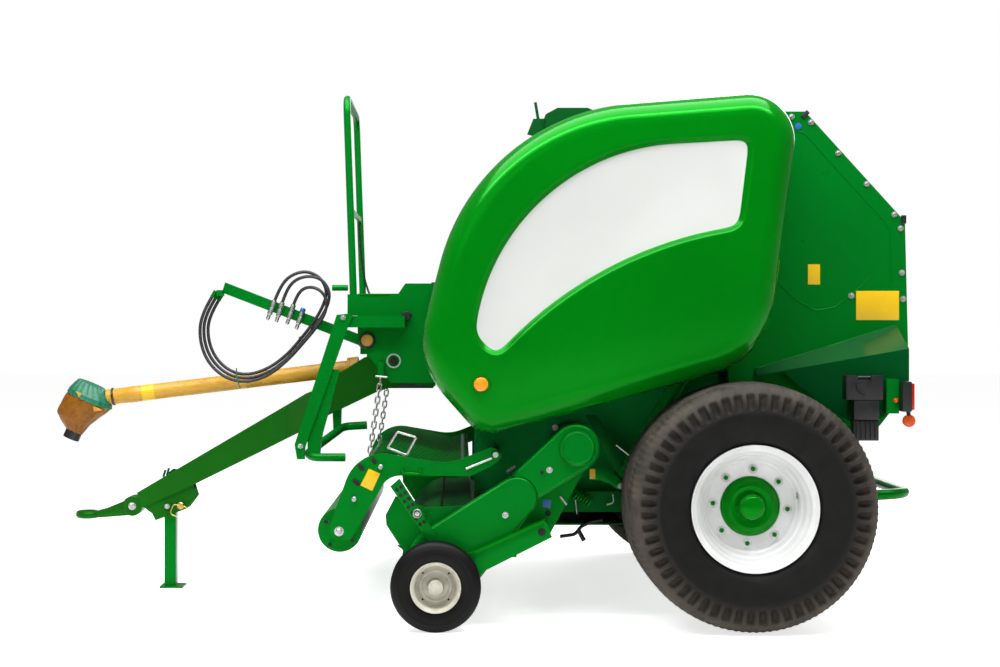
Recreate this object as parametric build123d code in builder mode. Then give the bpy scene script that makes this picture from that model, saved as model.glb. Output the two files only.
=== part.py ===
from build123d import *
import os
from math import cos, pi, radians, sin, tan

# Round baler, fixed chamber, standing on its wheels and its parking stand
# X forward to the drawbar, Y to the left, Z up, origin on the ground under the middle

os.makedirs("parts", exist_ok=True)

# Running gear
axle_x = -1063
axle_z = 462
tyre_radius = 462
tyre_half = 246
tread_half = 172
lug_height = 14
lug_count = 56
lug_width = 25
track_half = 1020
rim_radius = 235
bead_radius = 216
bead_half = 200
rim_wall = 7
disc_offset = 60
hub_radius = 107
spindle_radius = 45
fit = 0.3

# Gauge wheels
gauge_x = 106
gauge_y = 1142
gauge_radius = 168
gauge_half = 46
gauge_rim_radius = 94
gauge_spindle = 14

# Chamber and its walls
chamber_x = -1010
chamber_z = 1236
roller_radius = 77.5
roller_ring = 652.5
roller_count = 17
tail_rollers = range(6, 15)
first_roller_angle = -22.15
roller_step = 19.8
journal_radius = 25
wall_inner = 622
wall = 16
skin = 5
body_half = 690
split_top = -974
split_bottom = -1066
split_gap = 10
roof_z = 1984
floor_z = 400
front_x = 115

# Rotor, pickup and wind guard
rotor_x = -421
rotor_z = 674
rotor_radius = 225
rotor_core = 110
rotor_stars = 15
pivot_tube = 40
pickup_half = 940
pickup_plate = 12
reel_x = 75
reel_z = 240
reel_bars = 5
reel_bar_ring = 110
tine_radius = 188
tine_count = 24
tine_pitch = 75
band_width = 40
band_radius = 160
guard_eye_x = -118
guard_eye_z = 646
guard_roller_x = 474
guard_roller_z = 355
guard_roller_radius = 84
guard_half = 985

# Doors
door_inner = 785
door_outer = 1130
door_wall = 8
door_edge = 70
recess = 20
window_round = 45
door_pin_y = 768
door_pin_z = 1962
door_pin = 8
door_hinges = (-720, -900)
hinge_arm = 40

# Tailgate hinge and its cylinders
gate_hinge_x = -985
gate_hinge_z = 1962
gate_pin = 14
cylinder_y = 730
cylinder_foot = (-640, 560)
cylinder_eye = (-1180, 1480)
cylinder_pin = 15
barrel_radius = 32
rod_radius = 18
eye_radius = 28
eye_width = 40
barrel_length = 820

# Drawbar, shaft and stand
eye_x = 1640
eye_z = 318
eye_bore = 26
fork_inner = 180
fork_plate = 20
pivot_x = 290
pivot_z = 987
head_half = 400
pto_rear = (474, 956)
pto_front = (1557, 825)
pto_tube = 34
pto_clamp = 46
bell_mouth = (1633, 813)
stand_x = 1277
stand_pivot_z = 355
stand_pin = 10
chain_y = 420
kicker_half = 715
kicker_pivot = (-1150, 440)
kicker_rear = (-1755, 473)
kicker_tube = 21
kicker_pin = 12


def lateral(y):
    # a plane across the machine at y, facing right, so an extrusion runs towards the right
    return Plane.XZ.offset(-y)


def across(x, y, z):
    # a place whose own Z runs across the machine
    return Location((x, y, z), (90, 0, 0))


def ring_place(step):
    # where roller number step lies on the chamber's ring
    angle = radians(first_roller_angle + roller_step * step)
    return chamber_x + roller_ring * cos(angle), chamber_z + roller_ring * sin(angle)


# Main wheels: lugged tyre, dished rim and domed hub
with BuildPart() as lug:
    with BuildSketch(Plane.XZ):
        with BuildLine():
            Polyline(
                (tyre_radius - lug_height - 6, tread_half - 8),
                (tyre_radius, tread_half + 34),
                (tyre_radius - 66, tyre_half + 3),
                (tyre_radius - 70, tyre_half - 12),
                close=True,
            )
        make_face()
    extrude(amount=lug_width / 2, both=True)
    mirror(about=Plane.XY)

for side, hand in ((1, "left"), (-1, "right")):
    wheel_y = side * track_half
    section = Plane((axle_x, wheel_y, axle_z), x_dir=(1, 0, 0), z_dir=(0, 0, 1))
    spin = Axis((axle_x, wheel_y, axle_z), (0, 1, 0))
    hub_plane = Plane((axle_x, wheel_y, axle_z), x_dir=(1, 0, 0), z_dir=(0, -side, 0))

    with BuildPart(hub_plane) as main_tyre:
        with BuildSketch(section):
            with BuildLine():
                Polyline(
                    (bead_radius, 0),
                    (bead_radius, bead_half - 5),
                    (rim_radius + 2, bead_half),
                    (rim_radius + 12, bead_half + 16),
                    (tyre_radius - 68, tyre_half),
                    (tyre_radius - lug_height, tread_half),
                    (tyre_radius - lug_height, 0),
                    close=True,
                )
            make_face()
            mirror(about=Plane.XZ)
        revolve(axis=spin)
        with PolarLocations(0, lug_count):
            add(lug.part)
    main_tyre.part.label = f"main_tyre_{hand}"
    export_step(main_tyre.part, f"parts/main_tyre_{hand}.step")

    with BuildPart(hub_plane) as main_rim:
        with BuildSketch(section):
            with BuildLine():
                Polyline(
                    (rim_radius, side * (bead_half + 14)),
                    (rim_radius, side * (bead_half + 1)),
                    (bead_radius - fit, side * (bead_half - 4)),
                    (bead_radius - fit, side * (4 - bead_half)),
                    (rim_radius, side * (-bead_half - 1)),
                    (rim_radius, side * (-bead_half - 14)),
                    (bead_radius - rim_wall, side * (-bead_half - 4)),
                    (bead_radius - rim_wall, side * (disc_offset - 10)),
                    (hub_radius + 50, side * (disc_offset + 20)),
                    (hub_radius + 4, side * (disc_offset + 20)),
                    (hub_radius + 4, side * (disc_offset + 30)),
                    (hub_radius + 54, side * (disc_offset + 30)),
                    (bead_radius - rim_wall, side * disc_offset),
                    (bead_radius - rim_wall, side * (bead_half + 4)),
                    close=True,
                )
            make_face()
        revolve(axis=spin)
    main_rim.part.label = f"main_rim_{hand}"
    export_step(main_rim.part, f"parts/main_rim_{hand}.step")

    with BuildPart(hub_plane) as main_hub:
        with BuildSketch(section):
            with BuildLine():
                Polyline(
                    (spindle_radius + fit, side * -60),
                    (hub_radius, side * -60),
                    (hub_radius, side * (disc_offset + 19)),
                    (hub_radius + 3.5, side * (disc_offset + 19)),
                    (hub_radius + 3.5, side * (disc_offset + 36)),
                    (hub_radius - 30, side * (disc_offset + 62)),
                    (50, side * (disc_offset + 66)),
                    (44, side * (disc_offset + 92)),
                    (0, side * (disc_offset + 98)),
                    (0, side * (disc_offset + 40)),
                    (spindle_radius + fit, side * (disc_offset + 40)),
                    close=True,
                )
            make_face()
        revolve(axis=spin)
    main_hub.part.label = f"main_hub_{hand}"
    export_step(main_hub.part, f"parts/main_hub_{hand}.step")

    # Gauge wheel of the pickup: plain ribbed tyre on a pressed rim
    gauge_place = (gauge_x, side * gauge_y, gauge_radius)
    gauge_section = Plane(gauge_place, x_dir=(1, 0, 0), z_dir=(0, 0, 1))
    gauge_spin = Axis(gauge_place, (0, 1, 0))
    with BuildPart() as gauge_tyre:
        with BuildSketch(gauge_section):
            with BuildLine():
                Polyline(
                    (gauge_rim_radius - 10, 0),
                    (gauge_rim_radius - 10, gauge_half - 14),
                    (gauge_rim_radius + 4, gauge_half - 4),
                    (gauge_radius - 34, gauge_half),
                    (gauge_radius - 8, gauge_half - 12),
                    (gauge_radius, gauge_half - 24),
                    (gauge_radius, 0),
                    close=True,
                )
            make_face()
            mirror(about=Plane.XZ)
        revolve(axis=gauge_spin)
    gauge_tyre.part.label = f"gauge_tyre_{hand}"
    export_step(gauge_tyre.part, f"parts/gauge_tyre_{hand}.step")

    with BuildPart() as gauge_rim:
        with BuildSketch(gauge_section):
            with BuildLine():
                Polyline(
                    (gauge_spindle + fit, side * (14 - gauge_half)),
                    (34, side * (14 - gauge_half)),
                    (38, side * 4),
                    (gauge_rim_radius - 10 - fit, side * 4),
                    (gauge_rim_radius - 10 - fit, side * (13 - gauge_half)),
                    (gauge_rim_radius, side * (5 - gauge_half)),
                    (gauge_rim_radius, side * (1 - gauge_half)),
                    (gauge_rim_radius - 16, side * (12 - gauge_half)),
                    (gauge_rim_radius - 16, side * -2),
                    (46, side * -2),
                    (42, side * (4 - gauge_half)),
                    (gauge_spindle + fit, side * (4 - gauge_half)),
                    close=True,
                )
            make_face()
            with BuildLine():
                Polyline(
                    (gauge_rim_radius - 16, side * 4),
                    (gauge_rim_radius - 10 - fit, side * 4),
                    (gauge_rim_radius - 10 - fit, side * (gauge_half - 13)),
                    (gauge_rim_radius, side * (gauge_half - 5)),
                    (gauge_rim_radius, side * (gauge_half - 1)),
                    (gauge_rim_radius - 16, side * (gauge_half - 12)),
                    close=True,
                )
            make_face()
            with BuildLine():
                Polyline(
                    (gauge_spindle + fit, side * 0),
                    (gauge_spindle + fit, side * 30),
                    (0, side * 30),
                    (0, side * 42),
                    (26, side * 38),
                    (30, side * 4),
                    (gauge_rim_radius - 20, side * 4),
                    (gauge_rim_radius - 20, side * 0),
                    close=True,
                )
            make_face()
        revolve(axis=gauge_spin)
    gauge_rim.part.label = f"gauge_rim_{hand}"
    export_step(gauge_rim.part, f"parts/gauge_rim_{hand}.step")


# Axle: drop beam under the chamber with a spindle at each end
beam_half = 50
beam_top = floor_z + 80
with BuildPart() as axle_beam:
    with Locations((axle_x, 0, (floor_z + beam_top) / 2)):
        Box(2 * beam_half, 2 * (track_half - 270), beam_top - floor_z)
    for side in (1, -1):
        with Locations((axle_x, side * (track_half - 262), axle_z - 4)):
            Box(110, 16, 124)
        with Locations(across(axle_x, side * (track_half - 110), axle_z)):
            Cylinder(spindle_radius, 290)
        with Locations((axle_x - beam_half - 34, side * (kicker_half + 32), kicker_pivot[1])):
            Box(72, 12, 2 * 35)
        with Locations(across(kicker_pivot[0], side * (kicker_half + 5), kicker_pivot[1])):
            Cylinder(kicker_pin, 66)
axle_beam.part.label = "axle_beam"
export_step(axle_beam.part, "parts/axle_beam.step")

# Lower frame: two rails outside the chamber walls, cross members and pickup pivot tubes
rail_inner = wall_inner + wall
rail_outer = 720
rail_front = -40
rail_rear = axle_x + beam_half
with BuildPart() as lower_frame:
    for side in (1, -1):
        middle = side * (rail_inner + rail_outer) / 2
        with Locations(((rail_front + rail_rear) / 2, middle, (floor_z + beam_top) / 2)):
            Box(rail_front - rail_rear, rail_outer - rail_inner, beam_top - floor_z)
        with Locations(across(rotor_x, side * (rail_inner + 982) / 2, rotor_z)):
            Cylinder(pivot_tube, 982 - rail_inner)
        with Locations(across(rotor_x, side * (rail_inner + 15), rotor_z)):
            Cylinder(pivot_tube + 40, 30)
        with Locations(across(cylinder_foot[0], side * (rail_inner + 25), cylinder_foot[1])):
            Cylinder(40, 50)
        with Locations(across(cylinder_foot[0], side * (rail_inner + cylinder_y + 22) / 2, cylinder_foot[1])):
            Cylinder(cylinder_pin, cylinder_y + 22 - rail_inner)
        with Locations(across(guard_eye_x, side * (rail_inner + guard_half - 3) / 2, guard_eye_z)):
            Cylinder(21, guard_half - 3 - rail_inner)
        with Locations(across(guard_eye_x, side * (guard_half + 6), guard_eye_z)):
            Cylinder(12, 40)
lower_frame.part.label = "lower_frame"
export_step(lower_frame.part, "parts/lower_frame.step")

# Body outline: the front and the roof between the doors, a little inside the doors' own outline
body_corners = (
    # x, z, corner radius
    (split_top + 24, 1972, 1),
    (-480, 1956, 200),
    (-140, 1690, 300),
    (60, 1430, 300),
    (front_x, 1200, 200),
    (front_x, 980, 120),
    (-36, 730, 90),
    (-36, floor_z, 1),
    (split_bottom + split_gap, floor_z, 1),
)


def body_face(inset):
    # the body's side view, smaller all round by inset
    with BuildSketch() as face:
        with BuildLine():
            FilletPolyline(
                *[(x, z) for x, z, radius in body_corners],
                radius=[radius for x, z, radius in body_corners],
                close=True,
            )
        make_face()
        if inset:
            offset(amount=-inset, mode=Mode.REPLACE)
    return face.sketch


with BuildPart() as side_plates:
    with BuildSketch(lateral(wall_inner + wall)):
        add(body_face(skin))
    extrude(amount=wall)
    with Locations((axle_x, wall_inner + wall / 2, (floor_z + beam_top) / 2)):
        Box(2 * beam_half, 2 * wall, beam_top - floor_z + 10, mode=Mode.SUBTRACT)
    mirror(about=Plane.XZ)
side_plates.part.label = "side_plates"
export_step(side_plates.part, "parts/side_plates.step")

# Front and roof skin, open behind and below; the throat lets the crop in from the pickup
throat_top = 731
cover_rear = split_top + 30
with BuildPart() as front_cover:
    with BuildSketch(lateral(body_half)):
        add(body_face(0))
        add(body_face(skin), mode=Mode.SUBTRACT)
    extrude(amount=2 * body_half)
    with Locations((cover_rear - 500, 0, 1000)):
        Box(1000, 3000, 3000, mode=Mode.SUBTRACT)
    with Locations((-500, 0, throat_top / 2)):
        Box(1400, 3000, throat_top, mode=Mode.SUBTRACT)
    # ears that carry the tailgate's hinge pins
    for y in (-500, -300, 300, 500):
        with BuildSketch(lateral(y + 8)):
            with Locations((gate_hinge_x, gate_hinge_z)):
                Circle(gate_pin + 1)
            with BuildLine():
                Polyline(
                (-993, 1950),
                (-988, 1964),
                (-950, 1964),
                (-940, 1970),
                (-890, 1970),
                (-890, 1952),
                close=True,
            )
            make_face()
        extrude(amount=16)
    for y in (-400, 400):
        with Locations(across(gate_hinge_x, y, gate_hinge_z)):
            Cylinder(gate_pin, 210)
    # arms and pins of the side doors' hinges
    for side in (1, -1):
        for hinge_x in door_hinges:
            with Locations((hinge_x, side * (645 + door_pin_y) / 2, door_pin_z)):
                Box(hinge_arm, door_pin_y - 645, 2 * door_pin)
            with Locations(Location((hinge_x, side * door_pin_y, door_pin_z), (0, 90, 0))):
                Cylinder(door_pin, hinge_arm + 60)
front_cover.part.label = "front_cover"
export_step(front_cover.part, "parts/front_cover.step")

# Net wrap box on the roof, with its bracket and lever
with BuildPart() as net_box:
    with BuildSketch(lateral(560)):
        with BuildLine():
            Polyline(
                (-560, 1945),
                (-560, 1990),
                (-500, 2016),
                (-378, 2016),
                (-330, 1990),
                (-330, 1912),
                close=True,
            )
        make_face()
    extrude(amount=1120)
    with BuildSketch(lateral(540)):
        with BuildLine():
            Polyline((-335, 1975), (-281, 1974), (-256, 1911), (-335, 1890), close=True)
        make_face()
    extrude(amount=10)
    with BuildSketch(Plane((-303, 535, 1960), z_dir=(-289 + 303, 0, 2044 - 1960))):
        Circle(6)
    extrude(amount=82)
    with BuildSketch(lateral(600)):
        add(body_face(0))
    extrude(amount=1200, mode=Mode.SUBTRACT)
net_box.part.label = "net_box"
export_step(net_box.part, "parts/net_box.step")


def roller_bank(steps):
    # plain chamber rollers with their journals, which end at the chamber walls
    with BuildPart() as bank:
        for step in steps:
            x, z = ring_place(step)
            with Locations(across(x, 0, z)):
                Cylinder(roller_radius, 2 * (wall_inner - 8))
                Cylinder(journal_radius, 2 * wall_inner)
    return bank.part


fixed_steps = [step for step in range(roller_count) if step not in tail_rollers]
with BuildPart() as front_rollers:
    add(roller_bank(fixed_steps))
front_rollers.part.label = "front_rollers"
export_step(front_rollers.part, "parts/front_rollers.step")

with BuildPart() as tailgate_rollers:
    add(roller_bank(tail_rollers))
tailgate_rollers.part.label = "tailgate_rollers"
export_step(tailgate_rollers.part, "parts/tailgate_rollers.step")

# Feed rotor: a drum with stars of fingers, turning on stub shafts through the chamber walls
finger_width = 46
with BuildPart() as feed_rotor:
    with Locations(across(rotor_x, 0, rotor_z)):
        Cylinder(rotor_core, 2 * (wall_inner - 6))
        Cylinder(60, 2 * (wall_inner - fit))
    star_pitch = 2 * (wall_inner - 40) / (rotor_stars - 1)
    for star in range(rotor_stars):
        star_y = star * star_pitch - (wall_inner - 40)
        with BuildSketch(lateral(star_y + 5)):
            with Locations((rotor_x, rotor_z)):
                with PolarLocations((rotor_core + rotor_radius) / 2 - 10, 4, start_angle=30 * (star % 3)):
                    Trapezoid(finger_width, rotor_radius - rotor_core + 20, 82, rotation=-90)
        extrude(amount=10)
feed_rotor.part.label = "feed_rotor"
export_step(feed_rotor.part, "parts/feed_rotor.step")

# Feed floor: the trough under the rotor and the knife housing below it
with BuildPart() as feed_floor:
    with BuildSketch(lateral(wall_inner)) as floor_section:
        with BuildLine():
            Polyline(
                (-300, 450),
                (-290, 337),
                (-640, 337),
                (-707, 400),
                (-707, 520),
                (-660, 590),
                close=True,
            )
        make_face()
        with Locations((rotor_x, rotor_z)):
            Circle(rotor_radius + 20, mode=Mode.SUBTRACT)
        offset(amount=-8, mode=Mode.SUBTRACT)
    extrude(amount=2 * wall_inner)
feed_floor.part.label = "feed_floor"
export_step(feed_floor.part, "parts/feed_floor.step")

# Tailgate: two thick walls that carry the rollers, a bent skin between them and flared wings below
gate_corners = (
    # x, z
    (split_top - split_gap, roof_z),
    (-1352, roof_z),
    (-1748, 1548),
    (-1760, 1060),
    (-1751, 928),
    (-1692, 795),
    (-1649, 740),
    (-1440, 585),
    (-1250, 508),
    (split_bottom - split_gap, 497),
)
gate_floor_z = gate_corners[-1][1]
gate_skin = skin + 1
wing_front = (-1153, 745)
wing_rear = (-1712, 890)
wing_front_z = 940
wing_rear_z = 1046
wing_sheet = 8
fold_front_z = 967
fold_rear_z = 1140
wing_run = Vector(wing_rear[0] - wing_front[0], wing_rear[1] - wing_front[1], 0)
skirt_plane = Plane(
    (wing_front[0], wing_front[1], 0), x_dir=wing_run, z_dir=(wing_run.Y, -wing_run.X, 0)
)


def along_wing(x):
    # distance along the wing's outer edge at x
    return (wing_front[0] - x) * wing_run.length / (wing_front[0] - wing_rear[0])


def wing_edge_z(x):
    # height of the wing's outer edge at x
    share = (wing_front[0] - x) / (wing_front[0] - wing_rear[0])
    return wing_front_z + (wing_rear_z - wing_front_z) * share


skirt_front_x = -1250
skirt_corners = (
    # x, z
    (skirt_front_x, wing_edge_z(skirt_front_x) - wing_sheet / 2),
    (-1300, 905),
    (-1440, 800),
    (-1500, 762),
    (-1600, 768),
    (-1648, 808),
    (wing_rear[0], 808),
    (wing_rear[0], wing_rear_z - wing_sheet / 2),
)


with BuildPart() as tailgate_shell:
    with BuildSketch(lateral(body_half)):
        with BuildLine():
            Polyline(*gate_corners, close=True)
        make_face()
    extrude(amount=2 * body_half)
    with BuildSketch(lateral(wall_inner)):
        with BuildLine():
            Polyline(*gate_corners, close=True)
        make_face()
        offset(amount=-gate_skin, mode=Mode.REPLACE)
        with Locations((split_bottom + 40, (gate_floor_z + roof_z) / 2)):
            Rectangle(200, roof_z - gate_floor_z - 2 * gate_skin)
    extrude(amount=2 * wall_inner, mode=Mode.SUBTRACT)
    with BuildSketch(lateral(480)):
        with Locations((gate_hinge_x, gate_hinge_z)):
            Circle(22)
            Circle(gate_pin + fit, mode=Mode.SUBTRACT)
        with BuildLine():
            Polyline((-1000, 1988), (-1060, 1988), (-1060, 1979), (-1003, 1948), close=True)
        make_face()
    extrude(amount=160)
    with BuildSketch(Plane.YZ.offset(wing_front[0])):
        with BuildLine():
            Polyline(
                (body_half - 1, fold_front_z),
                (wing_front[1], wing_front_z),
                (wing_front[1], wing_front_z - wing_sheet),
                (body_half - 1, fold_front_z - wing_sheet - 2),
                close=True,
            )
        make_face()
    with BuildSketch(Plane.YZ.offset(wing_rear[0])):
        with BuildLine():
            Polyline(
                (body_half - 1, fold_rear_z),
                (wing_rear[1], wing_rear_z),
                (wing_rear[1], wing_rear_z - wing_sheet),
                (body_half - 1, fold_rear_z - wing_sheet - 2),
                close=True,
            )
        make_face()
    loft(ruled=True)
    with BuildSketch(skirt_plane.offset(-4)):
        with BuildLine():
            Polyline(*[(along_wing(x), z) for x, z in skirt_corners], close=True)
        make_face()
    extrude(amount=4)
    # holder of the wheel chock and bracket of the lamps
    with Locations((-1532, 862, 850)):
        Box(100, 44, 110)
    with Locations((-1639, 900, 864)):
        Box(48, 60, 132)
    # boss that the cylinder's eye stands at
    boss_end = cylinder_y - eye_width / 2 - fit
    with Locations(across(cylinder_eye[0], (body_half + boss_end) / 2, cylinder_eye[1])):
        Cylinder(eye_radius, boss_end - body_half)
    mirror(about=Plane.XZ)
tailgate_shell.part.label = "tailgate_shell"
export_step(tailgate_shell.part, "parts/tailgate_shell.step")

# Lamps and wheel chocks on the wings
chock_side = (
    # x, z
    (-1455, 944),
    (-1598, 944),
    (-1598, 852),
    (-1583, 838),
    (-1583, 695),
    (-1486, 695),
    (-1486, 838),
    (-1455, 852),
)
with BuildPart() as tail_lamps:
    with Locations((-1663 - fit - 25, 941, 864)):
        Box(50, 78, 118)
    with Locations(across(-1700, 935, 770)):
        Cylinder(24, 16)
    with Locations((-1693, 935, 800)):
        Box(24, 12, 20)
    mirror(about=Plane.XZ)
tail_lamps.part.label = "tail_lamps"
export_step(tail_lamps.part, "parts/tail_lamps.step")

with BuildPart() as wheel_chocks:
    with BuildSketch(lateral(955)):
        with BuildLine():
            Polyline(*chock_side, close=True)
        make_face()
    extrude(amount=955 - 884 - fit)
    with Locations((-1526, 925, 944)):
        Box(100, 40, 30, mode=Mode.SUBTRACT)
    mirror(about=Plane.XZ)
wheel_chocks.part.label = "wheel_chocks"
export_step(wheel_chocks.part, "parts/wheel_chocks.step")

# Side doors: moulded shells, hinged along the roof
door_corners = (
    # x, z, corner radius
    (-60, 713, 110),
    (189, 998, 320),
    (-50, 1922, 800),
    (-1272, 2022, 176),
    (-1138, 1001, 320),
)


def door_face(inset):
    with BuildSketch() as face:
        with BuildLine():
            FilletPolyline(
                *[(x, z) for x, z, radius in door_corners],
                radius=[radius for x, z, radius in door_corners],
                close=True,
            )
        make_face()
        if inset:
            offset(amount=-inset, mode=Mode.REPLACE)
    return face.sketch


def window_face(grow):
    with BuildSketch() as face:
        with BuildLine():
            ThreePointArc((-62, 1110), (-300, 1590), (-807, 1808))
            Line((-807, 1808), (-1056, 1822))
            Line((-1056, 1822), (-1018, 1508))
            ThreePointArc((-1018, 1508), (-520, 1345), (-120, 1030))
            Line((-120, 1030), (-62, 1110))
        make_face()
        fillet(face.vertices(), window_round)
        if grow:
            offset(amount=grow, mode=Mode.REPLACE)
    return face.sketch


def door_top(x):
    # height of the door's upper edge at x
    front_x_top, front_z_top = door_corners[2][:2]
    rear_x_top, rear_z_top = door_corners[3][:2]
    return front_z_top + (rear_z_top - front_z_top) * (front_x_top - x) / (front_x_top - rear_x_top)


with BuildPart() as door_space:
    with BuildSketch(lateral(door_outer - door_wall)):
        add(door_face(door_wall))
    extrude(amount=door_outer - door_wall - door_inner + 1)
    fillet(door_space.edges().group_by(Axis.Y)[-1], door_edge - door_wall)
    with BuildSketch(lateral(door_outer)):
        add(window_face(door_wall))
    extrude(amount=recess + door_wall, mode=Mode.SUBTRACT)

with BuildPart() as left_door:
    with BuildSketch(lateral(door_outer)):
        add(door_face(0))
    extrude(amount=door_outer - door_inner)
    fillet(left_door.edges().group_by(Axis.Y)[-1], door_edge)
    with BuildSketch(lateral(door_outer)):
        add(window_face(0))
    extrude(amount=recess, mode=Mode.SUBTRACT)
    add(door_space.part, mode=Mode.SUBTRACT)
    for hinge_x in door_hinges:
        leaf_low = door_pin_z - 5
        leaf_high = door_top(hinge_x) - door_wall + 4
        for step in (1, -1):
            knuckle_x = hinge_x + step * (hinge_arm / 2 + 15)
            with Locations(Location((knuckle_x, door_pin_y, door_pin_z), (0, 90, 0))):
                Cylinder(door_pin + 5, 26)
            with Locations((knuckle_x, door_pin_y + 17, (leaf_low + leaf_high) / 2)):
                Box(26, 34, leaf_high - leaf_low)
            with Locations(Location((knuckle_x, door_pin_y, door_pin_z), (0, 90, 0))):
                Cylinder(door_pin + fit, 28, mode=Mode.SUBTRACT)
left_door.part.label = "left_door"
export_step(left_door.part, "parts/left_door.step")

with BuildPart() as right_door:
    add(mirror(left_door.part, about=Plane.XZ, mode=Mode.PRIVATE))
right_door.part.label = "right_door"
export_step(right_door.part, "parts/right_door.step")

# Tailgate cylinders: a barrel on a foot pin of the side plate and a rod to the tailgate's pin
foot_x, foot_z = cylinder_foot
stroke_line = Vector(cylinder_eye[0] - foot_x, 0, cylinder_eye[1] - foot_z)
cylinder_length = stroke_line.length
for side, hand in ((1, "left"), (-1, "right")):
    cylinder_plane = Plane((foot_x, side * cylinder_y, foot_z), x_dir=(0, 1, 0), z_dir=stroke_line)
    with BuildPart() as barrel:
        with BuildSketch(cylinder_plane.offset(24)):
            Circle(barrel_radius)
        extrude(amount=barrel_length - 24)
        with Locations(across(foot_x, side * cylinder_y, foot_z)):
            Cylinder(30, 44)
            Cylinder(cylinder_pin + fit, 60, mode=Mode.SUBTRACT)
        with BuildSketch(cylinder_plane.offset(60)):
            Circle(rod_radius + fit)
        extrude(amount=barrel_length - 59, mode=Mode.SUBTRACT)
    barrel.part.label = f"barrel_{hand}"
    export_step(barrel.part, f"parts/barrel_{hand}.step")

    with BuildPart() as rod:
        with BuildSketch(cylinder_plane.offset(100)):
            Circle(rod_radius)
        extrude(amount=cylinder_length - 100 - 20)
        with Locations(across(cylinder_eye[0], side * cylinder_y, cylinder_eye[1])):
            Cylinder(eye_radius, eye_width)
        with Locations(across(cylinder_eye[0], side * (cylinder_y + eye_width / 2 + 4), cylinder_eye[1])):
            Cylinder(cylinder_pin, 8)
    rod.part.label = f"rod_{hand}"
    export_step(rod.part, f"parts/rod_{hand}.step")

# Drawbar: a box beam that widens into a fork, its stand ears below
fork_outer = fork_inner + fork_plate
drawbar_side = (
    # x, z
    (1417, 414),
    (676, 847),
    (620, 870),
    (620, 735),
    (705, 680),
    (882, 591),
    (1190, 439),
    (1400, 346),
)
fork_side = (
    # x, z
    (640, 869),
    (517, 943),
    (424, 1002),
    (186, 1074),
    (165, 926),
    (207, 904),
    (364, 858),
    (577, 756),
    (640, 715),
)
stand_ear = (
    # x, z
    (1390, 352),
    (1352, 323),
    (1337, 293),
    (1270, 318),
    (1200, 345),
    (1161, 397),
    (1177, 448),
    (1300, 395),
)
with BuildPart() as drawbar:
    with BuildSketch(lateral(fork_outer)):
        with BuildLine():
            Polyline(*drawbar_side, close=True)
        make_face()
    extrude(amount=2 * fork_outer)
    with BuildSketch(Plane.XY.offset(300)):
        with BuildLine():
            Polyline((1420, -50), (1420, 50), (900, 70), (760, 80), (620, fork_outer))
            Polyline((620, fork_outer), (620, -fork_outer), (760, -80), (900, -70), (1420, -50))
        make_face()
    extrude(amount=700, mode=Mode.INTERSECT)
    for y in (fork_outer, -fork_inner):
        with BuildSketch(lateral(y)):
            with BuildLine():
                Polyline(*fork_side, close=True)
            make_face()
        extrude(amount=fork_plate)
    for y in (46, -34):
        with BuildSketch(lateral(y)):
            with BuildLine():
                Polyline(*stand_ear, close=True)
            make_face()
        extrude(amount=12)
    with Locations(across(stand_x, 0, stand_pivot_z)):
        Cylinder(stand_pin, 112)
drawbar.part.label = "drawbar"
export_step(drawbar.part, "parts/drawbar.step")

# Towing eye: a forged ring on a shank, bolted in the drawbar's front end
with BuildPart() as towing_eye:
    with BuildSketch(Plane.XY.offset(eye_z - 16)):
        with Locations((eye_x, 0)):
            Circle(2 * eye_bore)
        with BuildLine():
            Polyline(
                (eye_x, 42),
                (1560, 34),
                (1480, 34),
                (1480, -34),
                (1560, -34),
                (eye_x, -42),
                close=True,
            )
        make_face()
        with Locations((eye_x, 0)):
            Circle(eye_bore, mode=Mode.SUBTRACT)
    extrude(amount=32)
    with BuildSketch(lateral(34)):
        with BuildLine():
            Polyline(
                (1500, 302),
                (1500, 334),
                (1496, 372),
                (1436, 398),
                (1417.3, 413),
                (1400.3, 345.5),
                (1440, 318),
                close=True,
            )
        make_face()
    extrude(amount=68)
    with Locations(across(1452, 0, 350)):
        Cylinder(40, 92)
    with BuildSketch(lateral(60)):
        with BuildLine():
            Polyline(
                (1370, 250),
                (1370, 500),
                (1417, 500),
                (1417.3, 413.8),
                (1400.3, 345.8),
                (1376, 260),
                close=True,
            )
        make_face()
    extrude(amount=120, mode=Mode.SUBTRACT)
towing_eye.part.label = "towing_eye"
export_step(towing_eye.part, "parts/towing_eye.step")

# Parking stand: square leg on a foot plate, turning on its bolt
leg_top = stand_pivot_z + 23
with BuildPart() as parking_stand:
    with Locations((stand_x - 9, 0, 4)):
        Box(100, 110, 8)
    with Locations((stand_x, 0, (leg_top + 6) / 2)):
        Box(50, 50, leg_top - 6)
    with Locations(across(stand_x, 0, stand_pivot_z)):
        Cylinder(stand_pin + fit, 60, mode=Mode.SUBTRACT)
parking_stand.part.label = "parking_stand"
export_step(parking_stand.part, "parts/parking_stand.step")

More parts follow.
